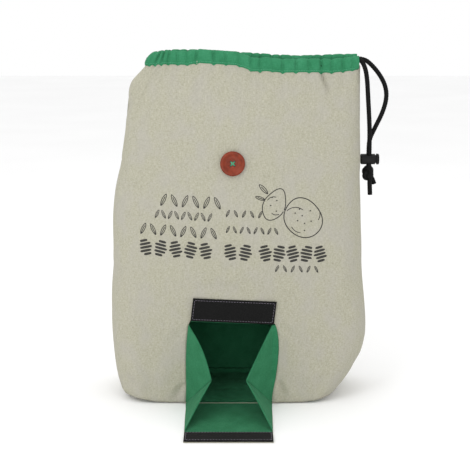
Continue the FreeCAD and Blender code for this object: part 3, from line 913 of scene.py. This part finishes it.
def make_binding(canvas, edges):
    """The lining is turned out over the opening's top edge, up to the tape."""
    tree = surface_tree(canvas)
    (_, left_x, _), (_, right_x, _) = edges
    left, right = left_x[-1] + 1.0 * MM, right_x[-1] - 0.6 * MM
    columns, rows = 90, 7
    verts, uv = [], []
    for r in range(rows + 1):
        for c in range(columns + 1):
            x = left + (right - left) * c / columns
            edge = HATCH_TOP + 2.0 * MM - x * 0.03
            z = edge - 0.5 * MM + (5.0 * MM - (x + HATCH_HALF) * 0.012) * r / rows
            hit = tree.ray_cast(Vector((x, -0.3, max(z, edge + 0.5 * MM))), Vector((0, 1, 0)))[0]
            curl = 0.55 * MM * (1 - r / rows) ** 3
            verts.append(Vector((x,
                hit.y - 0.3 * MM + curl + noise.noise(Vector((x, 0, z)) / 0.006) * 0.12 * MM, z)))
            uv.append((x, z))
    made = piece("opening_binding", verts, grid_faces(rows + 1, columns + 1), LINING_GREEN, None,
        uv)
    face_front(made)
    thicken(made, 0.35 * MM, offset=0.0)
    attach(made, "root")


def make_panel_tape(canvas):
    low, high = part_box("panel_loop_tape")
    centre = (low + high) / 2
    tree = surface_tree(canvas)
    across = Vector((math.cos(TAPE_TILT), 0, math.sin(TAPE_TILT)))
    up = Vector((-math.sin(TAPE_TILT), 0, math.cos(TAPE_TILT)))
    thick = 1.2 * MM
    face = high.y - 0.35 * MM  # the tape's back, against the canvas

    def at(u, v):
        flat = Vector((centre.x, 0,
            centre.z)) + across * ((u - 0.5) * TAPE_LONG) + up * ((v - 0.5) * TAPE_WIDE)
        flat += across * (SKEW * (v - 0.5))
        hit = tree.ray_cast(Vector((flat.x, -0.3, flat.z)), Vector((0, 1, 0)))[0]
        flat.y = min(face, hit.y + 0.15 * MM) if hit else face
        flat.y = max(flat.y, low.y + 0.3 * MM)
        inset = min(u, 1 - u) * TAPE_LONG, min(v, 1 - v) * TAPE_WIDE
        wave = noise.noise(flat / 0.012) * 0.15 * MM
        return flat + Vector((0, wave, 0)), Vector((0, -1, 0)), min(inset)

    verts, faces = slab(150, 44, at, thick)
    verts = fuzz(verts, 0.16 * MM, 1.3 * MM, 21)
    made = piece("panel_tape", verts, faces, LOOP_TAPE, "root")
    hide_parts("panel_loop_tape")
    parts = []
    for points, normals in rectangle_path(at, 2.0 * MM, 2.1 * MM):
        lifted = [p + n * thick for p, n in zip(points, normals)]
        parts += stitch_row(lifted, normals, *TAPE_STITCH)
    v, f = join_parts(parts)
    piece("panel_tape_stitches", v, f, TAPE_THREAD, "root")
    return made


def fuzz(verts, height, size, seed):
    """Shakes points by a fine noise, as a pile of small loops does."""
    shift = Vector((seed, seed * 2.0, seed * 3.0))
    return [Vector(v) + noise.noise_vector(Vector(v) / size + shift) * height for v in verts]


# ------------------------------------------------------------------ the flap


FLAP_BACK = -0.0455  # the flap's cloth starts here, on the base


def flap_rise(x, y):
    """The open flap lies nearly flat, so that it clears the gussets and the tape when shut."""
    rise = float(table(np.array(y), FLAP_RISE))
    out = float(smoothstep(HINGE[1], HINGE[1] - 25 * MM, y))
    wave = noise.noise(Vector((x / 0.03, y / 0.026, 4.2))) * 0.05 * MM * out
    fold = 0.05 * MM * out * (1 - abs(abs(x) / HATCH_HALF - 0.5) * 2)
    return max(0.0, rise + wave + fold)


def flap_half(y):
    """Half the flap's width, which draws in a little towards its front edge."""
    return HATCH_HALF - 0.4 * MM - 1.5 * MM * float(smoothstep(HINGE[1] - 10 * MM, FLAP_LOW.y, y))


def make_flap():
    """Canvas below and lining above, bending from the base to the flap."""
    columns, rows = 62, 110
    for name, node, floor, material, slot, end, under in (
        ("flap_canvas", "flap_outer", 0.1 * MM, CANVAS, "canvas", FLAP_LOW.y + 0.2 * MM, "canvas_base"),
        ("flap_lining_cloth", "flap_lining", 0.75 * MM, LINING_GREEN, "lining", FLAP_LOW.y + 3.0 * MM,
            "flap_canvas"),
    ):
        length = FLAP_BACK - end
        verts, uv = [], []
        for r in range(rows + 1):
            y = FLAP_BACK - length * r / rows
            for c in range(columns + 1):
                side = 2 * c / columns - 1
                x = side * (flap_half(y) - (0.4 * MM if node == "flap_lining" else 0))
                verts.append((x, y, floor + flap_rise(x, y)))
                uv.append((x, y))
        made = piece(name, verts, grid_faces(rows + 1, columns + 1), material, None, uv)
        flip_up(made)
        thicken(made, 0.5 * MM, offset=1.0)
        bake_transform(made)
        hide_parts(node)

    low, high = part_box("flap_hook_tape")
    thick = 1.2 * MM

    def at(u, v):
        x = low.x + (high.x - low.x) * u
        y = low.y + (high.y - low.y) * v
        place = Vector((x, y, LINING_TOP_Z + 0.1 * MM + flap_rise(x, y)))
        inset = min(min(u, 1 - u) * TAPE_LONG, min(v, 1 - v) * TAPE_WIDE)
        return place, Vector((0, 0, 1)), inset

    verts, faces = slab(150, 44, at, thick)
    verts = fuzz(verts, 0.12 * MM, 1.0 * MM, 31)
    made = piece("flap_tape", verts, faces, HOOK_TAPE, "flap")
    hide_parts("flap_hook_tape")
    parts = []
    for points, normals in rectangle_path(at, 1.8 * MM, 2.0 * MM):
        lifted = [p + n * thick for p, n in zip(points, normals)]
        parts += stitch_row(lifted, normals, *TAPE_STITCH)
    v, f = join_parts(parts)
    piece("flap_tape_stitches", v, f, TAPE_THREAD, "flap")


# ------------------------------------------------------------------ gussets


def hinge_frame(joint):
    """A joint's point and axis."""
    found = next(j for j in frame["joints"] if j["name"] == joint)
    return Vector(found["pos_m"]), Vector(found["axis"]).normalized()


EDGE_STRIP = 0.12
GUSSET_HINGE_Z = 2.1 * MM


def make_gussets(edges):
    """Each gusset is two triangles of lining that meet at the crease, with a hem."""
    for side, name, (edge_z, edge_x, edge_y) in ((-1, "left", edges[0]), (1, "right", edges[1])):
        back = hinge_frame(f"gusset_{name}_upper_fold")[0].y
        low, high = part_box(f"gusset_{name}_upper")
        corner = Vector((side * HATCH_HALF, back, GUSSET_HINGE_Z))
        tip = Vector((low.x if side > 0 else high.x, low.y, corner.z + (corner.y - low.y)))
        top = Vector((side * HATCH_HALF, back, HATCH_TOP - 0.6 * MM))
        front = Vector((side * HATCH_HALF, corner.y - (top.z - corner.z), corner.z))
        bulge = 7.6 * MM if side < 0 else 0.4 * MM
        for half, far, body in (("upper", top, f"gusset_{name}_upper"),
            ("lower", front, f"gusset_{name}_lower")):
            upper = half == "upper"
            normal = (far - corner).cross(tip - corner).normalized()
            if normal.x * side > 0:
                normal = -normal  # the mouth's side
            hem_run = (tip - far).normalized()
            outward = (far - corner) - hem_run * (far - corner).dot(hem_run)
            outward.normalize()

            def cloth(a, b):
                """a runs from the hinge line to the crease, b from the corner out to the free edge."""
                turned = max(0.0, a - EDGE_STRIP) / (1 - EDGE_STRIP) if upper else a
                edge = far.lerp(tip, turned)
                place = corner.lerp(edge, b)
                near = (1 - a) ** 2 * min(1.0, b * 4)
                if upper:
                    place = place + outward * (bulge * b * math.sin(math.pi * turned))
                    strip = max(0.0, 1 - a / EDGE_STRIP)  # lies flat beside the hinge line, and doesn't turn
                    aside = np.interp(place.z, edge_z, edge_x) - side * HATCH_HALF
                    place.x += aside * (strip if aside * side > 0 else (1 - turned) ** 2)
                    place.y += strip * (np.interp(place.z, edge_z, edge_y) + 0.5 * MM - back)
                else:
                    place.x += near * side * (min(flap_half(place.y), HATCH_HALF) - 0.5 * MM - HATCH_HALF)
                    place.z += near * flap_rise(place.x, place.y) * (1 - a)
                    place.y = min(place.y, HINGE[1] - 0.8 * MM)  # nothing behind the flap's hinge
                swell = math.sin(math.pi * a) * math.sin(math.pi * min(b * 1.05, 1)) * 0.06 * MM
                wrinkle = noise.noise(place / 0.02) * 0.06 * (1 - a) * MM
                return place - normal * (swell - wrinkle)

            steps = 40
            run = (far - corner).normalized()
            verts = [cloth(i / steps, j / steps) for i in range(steps + 1) for j in range(steps + 1)]
            uv = [((v - corner).dot(run), (v - corner).cross(run).length) for v in verts]
            made = piece(f"gusset_{name}_{half}_cloth", verts, grid_faces(steps + 1, steps + 1),
                LINING_GREEN, None, uv)
            weld(made)
            thicken(made, GUSSET_THICK, offset=0.0)
            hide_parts(f"gusset_{name}_{half}")

            wide, reach = 5.6 * MM, (corner - far.lerp(tip, 0.5)).length
            hem, hem_uv = [], []
            columns = 48
            for i in range(columns + 1):
                a = 0.02 + 0.97 * i / columns
                for j in range(6):
                    t = j / 5
                    inwards = min(0.5, wide * t / reach)
                    lift = GUSSET_THICK * (0.5 + 0.45 * math.sin(math.pi * min(1, 0.15 + t * 0.85)) ** 0.5)
                    hem.append(cloth(a, 1 - inwards) + normal * lift)
                    hem_uv.append((a * 0.07, t * wide))
            made_hem = piece(f"gusset_{name}_{half}_hem", hem, grid_faces(columns + 1, 6), LINING_GREEN,
                None, hem_uv)
            thicken(made_hem, 0.28 * MM, offset=0.0)
            line = [cloth(0.05 + 0.92 * k / 40,
                1 - (wide - 1.1 * MM) / reach) + normal * (GUSSET_THICK * 1.15) for k in range(41)]
            v, f = join_parts(stitch_row(line, [normal] * 41, 2.3 * MM, 0.34 * MM))
            stitches = piece(f"gusset_{name}_{half}_stitches", v, f, GREEN_THREAD, None)
            for part in (made, made_hem, stitches):
                if upper:
                    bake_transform(part)
                else:
                    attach(part, body)


def weld(obj):
    """Joins the points that fall together at a cloth's corner."""
    mesh = bmesh.new()
    mesh.from_mesh(obj.data)
    bmesh.ops.remove_doubles(mesh, verts=mesh.verts, dist=1e-6)
    mesh.to_mesh(obj.data)
    mesh.free()


# ------------------------------------------------------------------ the drawcord


def nurbs(name, points):
    """One smooth open curve through a given route."""
    data = bpy.data.curves.new(name, "CURVE")
    data.dimensions = "3D"
    data.resolution_u = 16
    spline = data.splines.new("NURBS")
    spline.points.add(len(points) - 1)
    for target, p in zip(spline.points, points):
        target.co = (*p, 1)
    spline.order_u = 3
    spline.use_endpoint_u = True
    curve = link(bpy.data.objects.new(name, data))
    mesh = bpy.data.meshes.new_from_object(curve)
    line = [v.co.copy() for v in mesh.vertices]
    bpy.data.objects.remove(curve)
    return line


def braided(radius, sides_in_turn=4.0, lay=5.2 * MM):
    """Radius of a round braid: two families of strands that cross."""

    def at(angle, along):
        turn = 2 * math.pi * along / lay
        one = abs(math.cos(sides_in_turn * 0.5 * (angle + turn / 2)))
        two = abs(math.cos(sides_in_turn * 0.5 * (angle - turn / 2)))
        return radius * (0.90 + 0.20 * max(one, two) ** 0.8)

    return at


def make_legs():
    """The two legs of the drawcord, from the casing down to the knot."""
    leg_end_y = LEG_HALF_GAP
    y = exit_y()
    front = [
        (EXIT_X, -y, EXIT_Z + 0.0022), (0.1408, -y + 0.0001, EXIT_Z + 0.001), (0.1440, -y + 0.0005, 0.3602),
        (0.1462, -y + 0.001, 0.3532), (0.1478, -y + 0.0017, 0.3425), (0.149, -y + 0.0026, 0.326),
        (0.1506, -leg_end_y - 0.0015, 0.308), (0.1517, -leg_end_y - 0.0005, 0.292),
            (LEG_X, -leg_end_y, 0.279),
        (LEG_X + 0.0001, -leg_end_y, 0.2655), (LEG_X, -leg_end_y, LEG_END_Z),
    ]
    back = [
        (EXIT_X, y, EXIT_Z + 0.0024), (0.1458, y - 0.0001, EXIT_Z + 0.0021), (0.1542, y - 0.0007, 0.3598),
        (0.1628, y - 0.001, 0.3496), (0.1692, y - 0.0016, 0.3375), (0.1706, y - 0.0024, 0.3245),
        (0.1662, leg_end_y + 0.002, 0.309), (0.1584, leg_end_y + 0.0008, 0.2935),
            (LEG_X + 0.0001, leg_end_y, 0.28),
        (LEG_X - 0.0001, leg_end_y, 0.266), (LEG_X, leg_end_y, LEG_END_Z),
    ]
    made = []
    for name, points in (("front", front), ("back", back)):
        line = even_points(nurbs(f"{name}_leg_route", points), 0.32 * MM)
        verts, faces = sweep(line, braided(CORD / 2), 40)
        leg = piece(f"drawcord_{name}_leg_braid", verts, faces, CORD_BRAID, "root")
        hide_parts(f"drawcord_{name}_leg")
        made.append((leg, line))
    return made


def exit_y():
    """How far from the seam plane the cord leaves the casing."""
    co = [v.co for v in frame["nodes"]["drawcord_in_casing"].data.vertices]
    right = max(c.x for c in co)
    ends = [c.y for c in co if c.x > right - 0.2 * MM and c.y > 0]
    return (min(ends) + max(ends)) / 2


def make_cased_cord(legs):
    """The cord inside the casing, from one leg's start round to the other's."""
    parts = []
    for side, (_, line) in zip((-1, 1), legs):
        px, py, nx, ny = band_outline(side)
        inwards = 2.9 * MM
        path = [Vector((left_end_x() + 3.0 * MM, 0, EXIT_Z + 2.0 * MM))]
        for k in range(24, len(px), 6):
            if px[k] > EXIT_X - 12 * MM:
                break
            lean = float(left_lean(px[k], 5.5))
            level = EXIT_Z + float(mouth_level(px[k], py[k]))
            path.append(Vector((px[k] - nx[k] * inwards + lean, py[k] - ny[k] * inwards, level)))
        path += [line[0] + Vector((-0.006, 0, 0)), line[0] + Vector((-0.002, 0, 0)), line[0]]
        smooth = even_points(nurbs("cased_cord_route", path), 1.2 * MM)
        parts.append(sweep(smooth, lambda angle, along: CORD / 2 * 0.97, 20))
    v, f = join_parts(parts)
    made = piece("drawcord_in_casing_braid", v, f, CORD_BRAID, "root")
    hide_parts("drawcord_in_casing")


def left_end_x():
    """The cord's turn at the casing's closed left end."""
    return BAND_LOW.x + 3.2 * MM


def knot_line(offset, tail):
    """One strand of an overhand knot, from the lock down to its tail's end."""
    low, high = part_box("drawcord_end_knot")
    middle = Vector((LEG_X, 0, (low.z + high.z) / 2))
    turn, wobble, depth = 3.1 * MM, 1.55 * MM, 2.6 * MM
    points = []
    steps = 64
    first = 0.42
    for k in range(steps + 1):
        t = first + (2 * math.pi - 2 * first) * k / steps
        radius = turn + wobble * math.cos(3 * t)
        points.append(Vector((
            radius * math.cos(2 * t) * 1.08,
            depth * math.sin(3 * t),
            radius * math.sin(2 * t) * 1.25,
        )))
    points.reverse()  # from the top down
    strand = [middle + p + Vector((0.5 * offset, offset, 0.3 * offset)) for p in points]
    top = Vector((LEG_X, math.copysign(LEG_HALF_GAP, offset), LEG_END_Z + 1.0 * MM))
    lead = [top, top + Vector((0, 0, -1.6 * MM))]
    return lead + strand + tail


def make_knot():
    """The overhand knot that both ends are tied in, and their two tails."""
    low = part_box("drawcord_end_knot")[0]
    long_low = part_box("drawcord_tail_long")[0].z
    short_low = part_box("drawcord_tail_short")[0].z
    long_tail = [Vector((LEG_X + 0.0010, -0.0027, low.z + 0.002)),
        Vector((LEG_X + 0.0012, -0.0027, low.z - 0.006)),
                 Vector((LEG_X + 0.0018, -0.0023, long_low + 0.0003))]
    short_tail = [Vector((LEG_X + 0.0030, 0.0026, low.z + 0.003)),
        Vector((LEG_X + 0.0050, 0.0031, low.z + 0.0005)),
                  Vector((LEG_X + 0.0066, 0.0033, short_low + 0.0006))]
    parts = []
    for offset, tail in ((-1.5 * MM, long_tail), (1.5 * MM, short_tail)):
        points = knot_line(offset, tail)
        line = even_points(nurbs("knot_route", points), 0.32 * MM)
        parts.append(sweep(line, braided(2.35 * MM), 32))
    v, f = join_parts(parts)
    made = piece("drawcord_knot_and_tails", v, f, CORD_BRAID, "root")
    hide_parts("drawcord_end_knot", "drawcord_tail_long", "drawcord_tail_short")
    return made


def dress_cad_nodes():
    """Materials for the CAD nodes that are shown as they are."""
    finishes = {
        "cord_lock_barrel": LOCK_PLASTIC, "cord_lock_plunger": LOCK_PLASTIC,
        "cord_lock_spring": SPRING_WIRE,
    }
    for node, material in finishes.items():
        obj = frame["nodes"][node]
        obj.data.materials.clear()
        obj.data.materials.append(material)


# ------------------------------------------------------------------ the button


BUTTON_PROFILE = [  # radius and height of the button's section, in mm, from its back to the dish's middle
    (0.0, 0.0), (8.0, 0.0), (11.4, 0.25), (12.7, 0.95), (13.1, 1.9), (12.9, 2.9), (12.2, 3.6), (11.2, 3.85),
        (10.2, 3.7),
    (9.5, 3.25), (8.8, 2.75), (7.6, 2.5), (6.0, 2.42), (5.2, 2.3), (4.9, 2.05), (3.0, 2.0), (0.0, 2.0),
]


HOLE_RING = 2.75  # mm from the middle to each hole
HOLE_RADIUS = 1.15
BUTTON_THREAD = 0.17


def make_button(canvas):
    """A turned four-hole button with a raised rim, sewn on with crossed green thread."""
    tree = surface_tree(canvas)
    centre = Vector((BUTTON_AT.x + 1.0 * MM, 0, BUTTON_AT.z - 1.2 * MM))
    on = tree.ray_cast(Vector((centre.x, -0.3, centre.z)), Vector((0, 1, 0)))[0]
    back = on.y - 1.3 * MM
    turn = math.atan2(BUTTON_LEAN, 1)
    sides = 96

    def place(radius, angle, height):
        x, z = radius * math.cos(angle), radius * math.sin(angle)
        y = -height
        return Vector((centre.x + x, back + y * math.cos(turn) + z * math.sin(turn),
            centre.z + z * math.cos(turn) - y * math.sin(turn)))

    verts, faces = [], []
    for radius, height in BUTTON_PROFILE[1:-1]:
        for k in range(sides):
            verts.append(place(radius * MM, 2 * math.pi * k / sides, height * MM))
    faces += grid_faces(len(BUTTON_PROFILE) - 2, sides, closed=True)
    for row, height, flip in ((0, 0.0, True), (len(BUTTON_PROFILE) - 3, 2.0, False)):
        verts.append(place(0, 0, height * MM))
        for k in range(sides):
            a, b = row * sides + k, row * sides + (k + 1) % sides
            faces.append((b, a, len(verts) - 1) if flip else (a, b, len(verts) - 1))
    made = piece("button_body", verts, faces, BUTTON_PLASTIC, None)
    drill = []
    for k in range(4):
        angle = math.pi / 4 + k * math.pi / 2
        hole = [place(HOLE_RING * MM, angle, h * MM) for h in (-1.5, 5.5)]
        drill.append(sweep(hole, lambda a, s: HOLE_RADIUS * MM, 24))
    v, f = join_parts(drill)
    cutter = piece("button_drill", v, f, BUTTON_PLASTIC)
    for obj in (made, cutter):
        outward_normals(obj)
    holes = made.modifiers.new("holes", "BOOLEAN")
    holes.object = cutter
    holes.operation = "DIFFERENCE"
    holes.solver = "EXACT"
    bake(made)
    bpy.data.objects.remove(cutter)
    edge = made.modifiers.new("edge", "BEVEL")
    edge.width = 0.12 * MM
    edge.segments = 2
    edge.limit_method = "ANGLE"
    bake(made)
    made.data.polygons.foreach_set("use_smooth", [True] * len(made.data.polygons))
    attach(made, "root")
    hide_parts("button")

    threads = []
    for strand in range(4):
        for angle in (math.pi / 4, 3 * math.pi / 4):
            aside = (strand - 1.5) * 0.34 * MM
            cross = Vector((-math.sin(angle), 0, math.cos(angle))) * aside
            route = []
            for r, h in ((HOLE_RING, -1.2), (HOLE_RING, 1.6), (2.2, 2.45), (0, 2.95 + 0.25 * (angle > 1)),
                (-2.2, 2.45), (-HOLE_RING, 1.6), (-HOLE_RING, -1.2)):
                at = place(abs(r) * MM, angle if r >= 0 else angle + math.pi, h * MM)
                route.append(at + cross)
            threads.append(sweep(even_points(nurbs("thread_route", route), 0.25 * MM), lambda a,
                s: BUTTON_THREAD * MM, 8))
    v, f = join_parts(threads)
    sewn = piece("button_sewing", v, f, GREEN_THREAD, "root")
    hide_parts("button_thread")


def outward_normals(obj):
    mesh = bmesh.new()
    mesh.from_mesh(obj.data)
    bmesh.ops.recalc_face_normals(mesh, faces=mesh.faces)
    mesh.to_mesh(obj.data)
    mesh.free()


# ------------------------------------------------------------------ the print


def strip(points, width, closed=True):
    """A stroke of ink along points in the front's plane."""
    pts = [Vector((p[0], p[1])) for p in points]
    count = len(pts)
    inner, outer = [], []
    for i, p in enumerate(pts):
        before = pts[i - 1] if closed or i else p
        after = pts[(i + 1) % count] if closed or i < count - 1 else p
        run = (after - before).normalized()
        normal = Vector((-run.y, run.x))
        inner.append(p - normal * (width / 2))
        outer.append(p + normal * (width / 2))
    verts = inner + outer
    last = count if closed else count - 1
    faces = [(i, (i + 1) % count, count + (i + 1) % count, count + i) for i in range(last)]
    return verts, faces


def blob(cx, cz, rx, rz, power=2.0, turn=0.0, dent=0.0, rings=4, sides=28):
    """A filled oval of ink, squarer as power grows."""
    verts = [Vector((cx, cz))]
    for r in range(1, rings + 1):
        for k in range(sides):
            a = 2 * math.pi * k / sides
            c, s = math.cos(a), math.sin(a)
            x = math.copysign(abs(c) ** (2 / power), c) * rx * r / rings
            z = math.copysign(abs(s) ** (2 / power), s) * rz * r / rings
            z *= 1 + dent * math.cos(a * 2 + 0.6)
            ct, st = math.cos(turn), math.sin(turn)
            verts.append(Vector((cx + x * ct - z * st, cz + x * st + z * ct)))
    faces = [(0, 1 + k, 1 + (k + 1) % sides) for k in range(sides)]
    for r in range(rings - 1):
        for k in range(sides):
            a, b = 1 + r * sides + k, 1 + r * sides + (k + 1) % sides
            faces.append((a, a + sides, b + sides, b))
    return verts, faces


def tuber(cx, cz, rx, rz, turn, seed, sides=72):
    """The outline of a plain potato shape: an oval with uneven bumps."""
    draw = random.Random(seed)
    waves = [(draw.uniform(0.015, 0.04), draw.uniform(0, 6.28), n) for n in (2, 3, 4)]
    points = []
    for k in range(sides):
        a = 2 * math.pi * k / sides
        r = 1 + sum(h * math.cos(n * a + p) for h, p, n in waves)
        x, z = rx * r * math.cos(a), rz * r * math.sin(a)
        points.append((cx + x * math.cos(turn) - z * math.sin(turn),
            cz + x * math.sin(turn) + z * math.cos(turn)))
    return points


def hatched_tuber(cx, cz, rx, rz, turn, bars=5):
    """A solid oval cut into slanted bars, as in a woodcut."""
    parts = []
    pitch = 2 * rz / bars
    for k in range(bars):
        z = (k + 0.5) * pitch - rz
        half = rx * math.sqrt(max(0.0, 1 - (z / rz) ** 2)) + 0.0003
        shift = 0.0007 * math.sin(2.4 * k + cx * 900)
        x, zz = shift * math.cos(turn) - z * math.sin(turn), shift * math.sin(turn) + z * math.cos(turn)
        parts.append(blob(cx + x, cz + zz, half, pitch * 0.36, 3.2, turn, 0, 3, 26))
    return parts


def leaf_mark(cx, cz, height, lean, width=0.3, stroke=0.00075):
    """The outline of a slim pointed leaf with its rib."""
    up = Vector((math.sin(lean), math.cos(lean))) * height / 2
    across = Vector((up.y, -up.x)) * width
    outline = []
    for k in range(24):
        a = 2 * math.pi * k / 24
        outline.append(Vector((cx, cz)) + up * math.cos(a) + across * math.sin(a) * abs(math.sin(a)) ** 0.5)
    rib = [Vector((cx, cz)) - up * 0.95, Vector((cx, cz)), Vector((cx, cz)) + up * 0.55]
    return [strip(outline, stroke), strip(rib, stroke, closed=False)]


def make_print(canvas):
    """A plain mark of this maker's own: rows of hatched ovals and leaves, and two tubers."""
    shapes = []
    for start, count, pitch in ((-0.0885, 5, 0.0160), (0.0015, 2, 0.0160), (0.0385, 5, 0.0146)):
        for k in range(count):
            x = start + k * pitch
            shapes += hatched_tuber(x, 0.1675 - 0.037 * x, 0.0062, 0.0090, 0.22 * (-1) ** k, 5)
    for x0, x1, z, height, step in (
        (-0.0690, -0.0120, 0.2215, 0.0135, 0.0118), (-0.0760, -0.0200, 0.2065, 0.0092, 0.0071),
        (-0.0910, -0.0160, 0.1905, 0.0125, 0.0107), (-0.0010, 0.0330, 0.2085, 0.0078, 0.0082),
        (-0.0010, 0.0500, 0.1915, 0.0076, 0.0072), (0.0510, 0.0930, 0.1495, 0.0076, 0.0083),
    ):
        count = int(round((x1 - x0) / step)) + 1
        for k in range(count):
            x = x0 + (x1 - x0) * k / (count - 1)
            shapes += leaf_mark(x, z - 0.045 * (x - x0), height, 0.45 * (-1) ** k, 0.27,
                0.00062 if height < 0.01 else 0.0008)
    far = tuber(0.0480, 0.2170, 0.0170, 0.0112, 1.05, 5)
    near = tuber(0.0785, 0.2025, 0.0225, 0.0185, -0.75, 9)
    hidden = [Vector(p) for p in near]
    shapes.append(strip(near, 0.00105))
    shapes.append(strip(in_one_run([p for p in far if not inside(p, hidden)]), 0.00095, closed=False))
    for cx, cz, radius, first, last in (  # the tubers' folds, as short arcs
        (0.0700, 0.2010, 0.0130, 0.9, 2.3), (0.0860, 0.2060, 0.0105, -0.6, 0.7),
            (0.0770, 0.1990, 0.0120, 3.6, 4.6),
        (0.0470, 0.2180, 0.0075, 1.2, 2.6), (0.0500, 0.2140, 0.0075, 4.0, 5.1),
    ):
        arc = [(cx + radius * math.cos(a), cz + radius * math.sin(a)) for a in np.linspace(first, last, 14)]
        shapes.append(strip(arc, 0.0008, closed=False))
    for cx, cz in (
        (0.0700, 0.2080), (0.0745, 0.2120), (0.0775, 0.2050), (0.0800, 0.1970), (0.0725, 0.2000),
            (0.0860, 0.2100),
        (0.0870, 0.1990), (0.0800, 0.1895), (0.0455, 0.2250), (0.0505, 0.2215), (0.0440, 0.2165),
            (0.0500, 0.2105),
    ):
        shapes.append(blob(cx, cz, 0.00085, 0.0007, 2.0, 0, 0, 2, 12))
    shapes += leaf_mark(0.0365, 0.2335, 0.0130, -0.75, 0.3, 0.0008)
    shapes += leaf_mark(0.0330, 0.2240, 0.0105, -1.25, 0.3, 0.0008)
    verts2, faces = join_parts(shapes)
    tree = surface_tree(canvas)
    verts, uv = [], []
    for p in verts2:
        hit = tree.ray_cast(Vector((p.x, -0.3, p.y)), Vector((0, 1, 0)))
        verts.append(Vector((p.x, hit[0].y - 0.07 * MM, p.y)))
        uv.append((p.x + 0.2, p.y))
    made = piece("ink_marks", verts, faces, INK, None, uv)
    face_front(made)
    thicken(made, 0.12 * MM, offset=-1.0)
    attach(made, "root")


def face_front(obj):
    """Turns every face of a flat mark towards -Y."""
    mesh = bmesh.new()
    mesh.from_mesh(obj.data)
    mesh.normal_update()
    wrong = [f for f in mesh.faces if f.normal.y > 0]
    bmesh.ops.reverse_faces(mesh, faces=wrong)
    mesh.to_mesh(obj.data)
    mesh.free()


def inside(point, outline):
    """Whether a point of the front's plane lies inside a closed outline."""
    x, z = point
    within = False
    for a, b in zip(outline, outline[1:] + outline[:1]):
        if (a.y > z) != (b.y > z) and x < (b.x - a.x) * (z - a.y) / (b.y - a.y) + a.x:
            within = not within
    return within


def in_one_run(points):
    """The visible part of an outline, started after its widest gap."""
    gaps = [math.dist(points[i - 1], points[i]) for i in range(len(points))]
    start = gaps.index(max(gaps))
    return points[start:] + points[:start]


# ------------------------------------------------------------------ stage


def make_stage():
    bpy.context.scene.view_settings.view_transform = "Standard"
    floor = piece("floor", [(-6, -6, 0), (6, -6, 0), (6, 6, 0), (-6, 6, 0)], [(0, 1, 2, 3)],
        floor_paint("pale_floor"))
    world = bpy.data.worlds.new("studio")
    world.use_nodes = True
    shade = world.node_tree.nodes["Background"]
    shade.inputs[0].default_value = (1, 1, 1, 1)
    shade.inputs[1].default_value = 1.0
    bpy.context.scene.world = world
    for name, place, size, power in (
        ("key", (-0.9, -1.3, 1.5), 0.8, 7), ("front", (-0.15, -1.75, 0.5), 0.8, 3.5),
            ("top", (0, 0.2, 1.8), 1.4, 4),
    ):
        data = bpy.data.lights.new(name, "AREA")
        data.size = size
        data.energy = power
        lamp = link(bpy.data.objects.new(name, data))
        lamp.location = place
        aim = Vector((0, 0, 0.15)) - Vector(place)
        lamp.rotation_euler = aim.to_track_quat("-Z", "Y").to_euler()


def make_camera():
    data = bpy.data.cameras.new("camera")
    data.lens = 90.52
    data.sensor_width = 36
    camera = link(bpy.data.objects.new("camera", data))
    target = Vector((0.0065, 0, 0.1751))
    camera.location = (0.0065, -1.2761, 0.4232)
    camera.rotation_euler = (target - camera.location).to_track_quat("-Z", "Y").to_euler()
    bpy.context.scene.camera = camera


# ------------------------------------------------------------------ all of it


make_camera()
legs = make_legs()
knot = make_knot()
canvas, foot_ring, hatch_edges = make_body()
make_base(foot_ring)
make_band(canvas)
make_cased_cord(legs)
make_binding(canvas, hatch_edges)
make_panel_tape(canvas)
make_flap()
make_gussets(hatch_edges)
make_button(canvas)
make_print(canvas)
dress_cad_nodes()
make_stage()
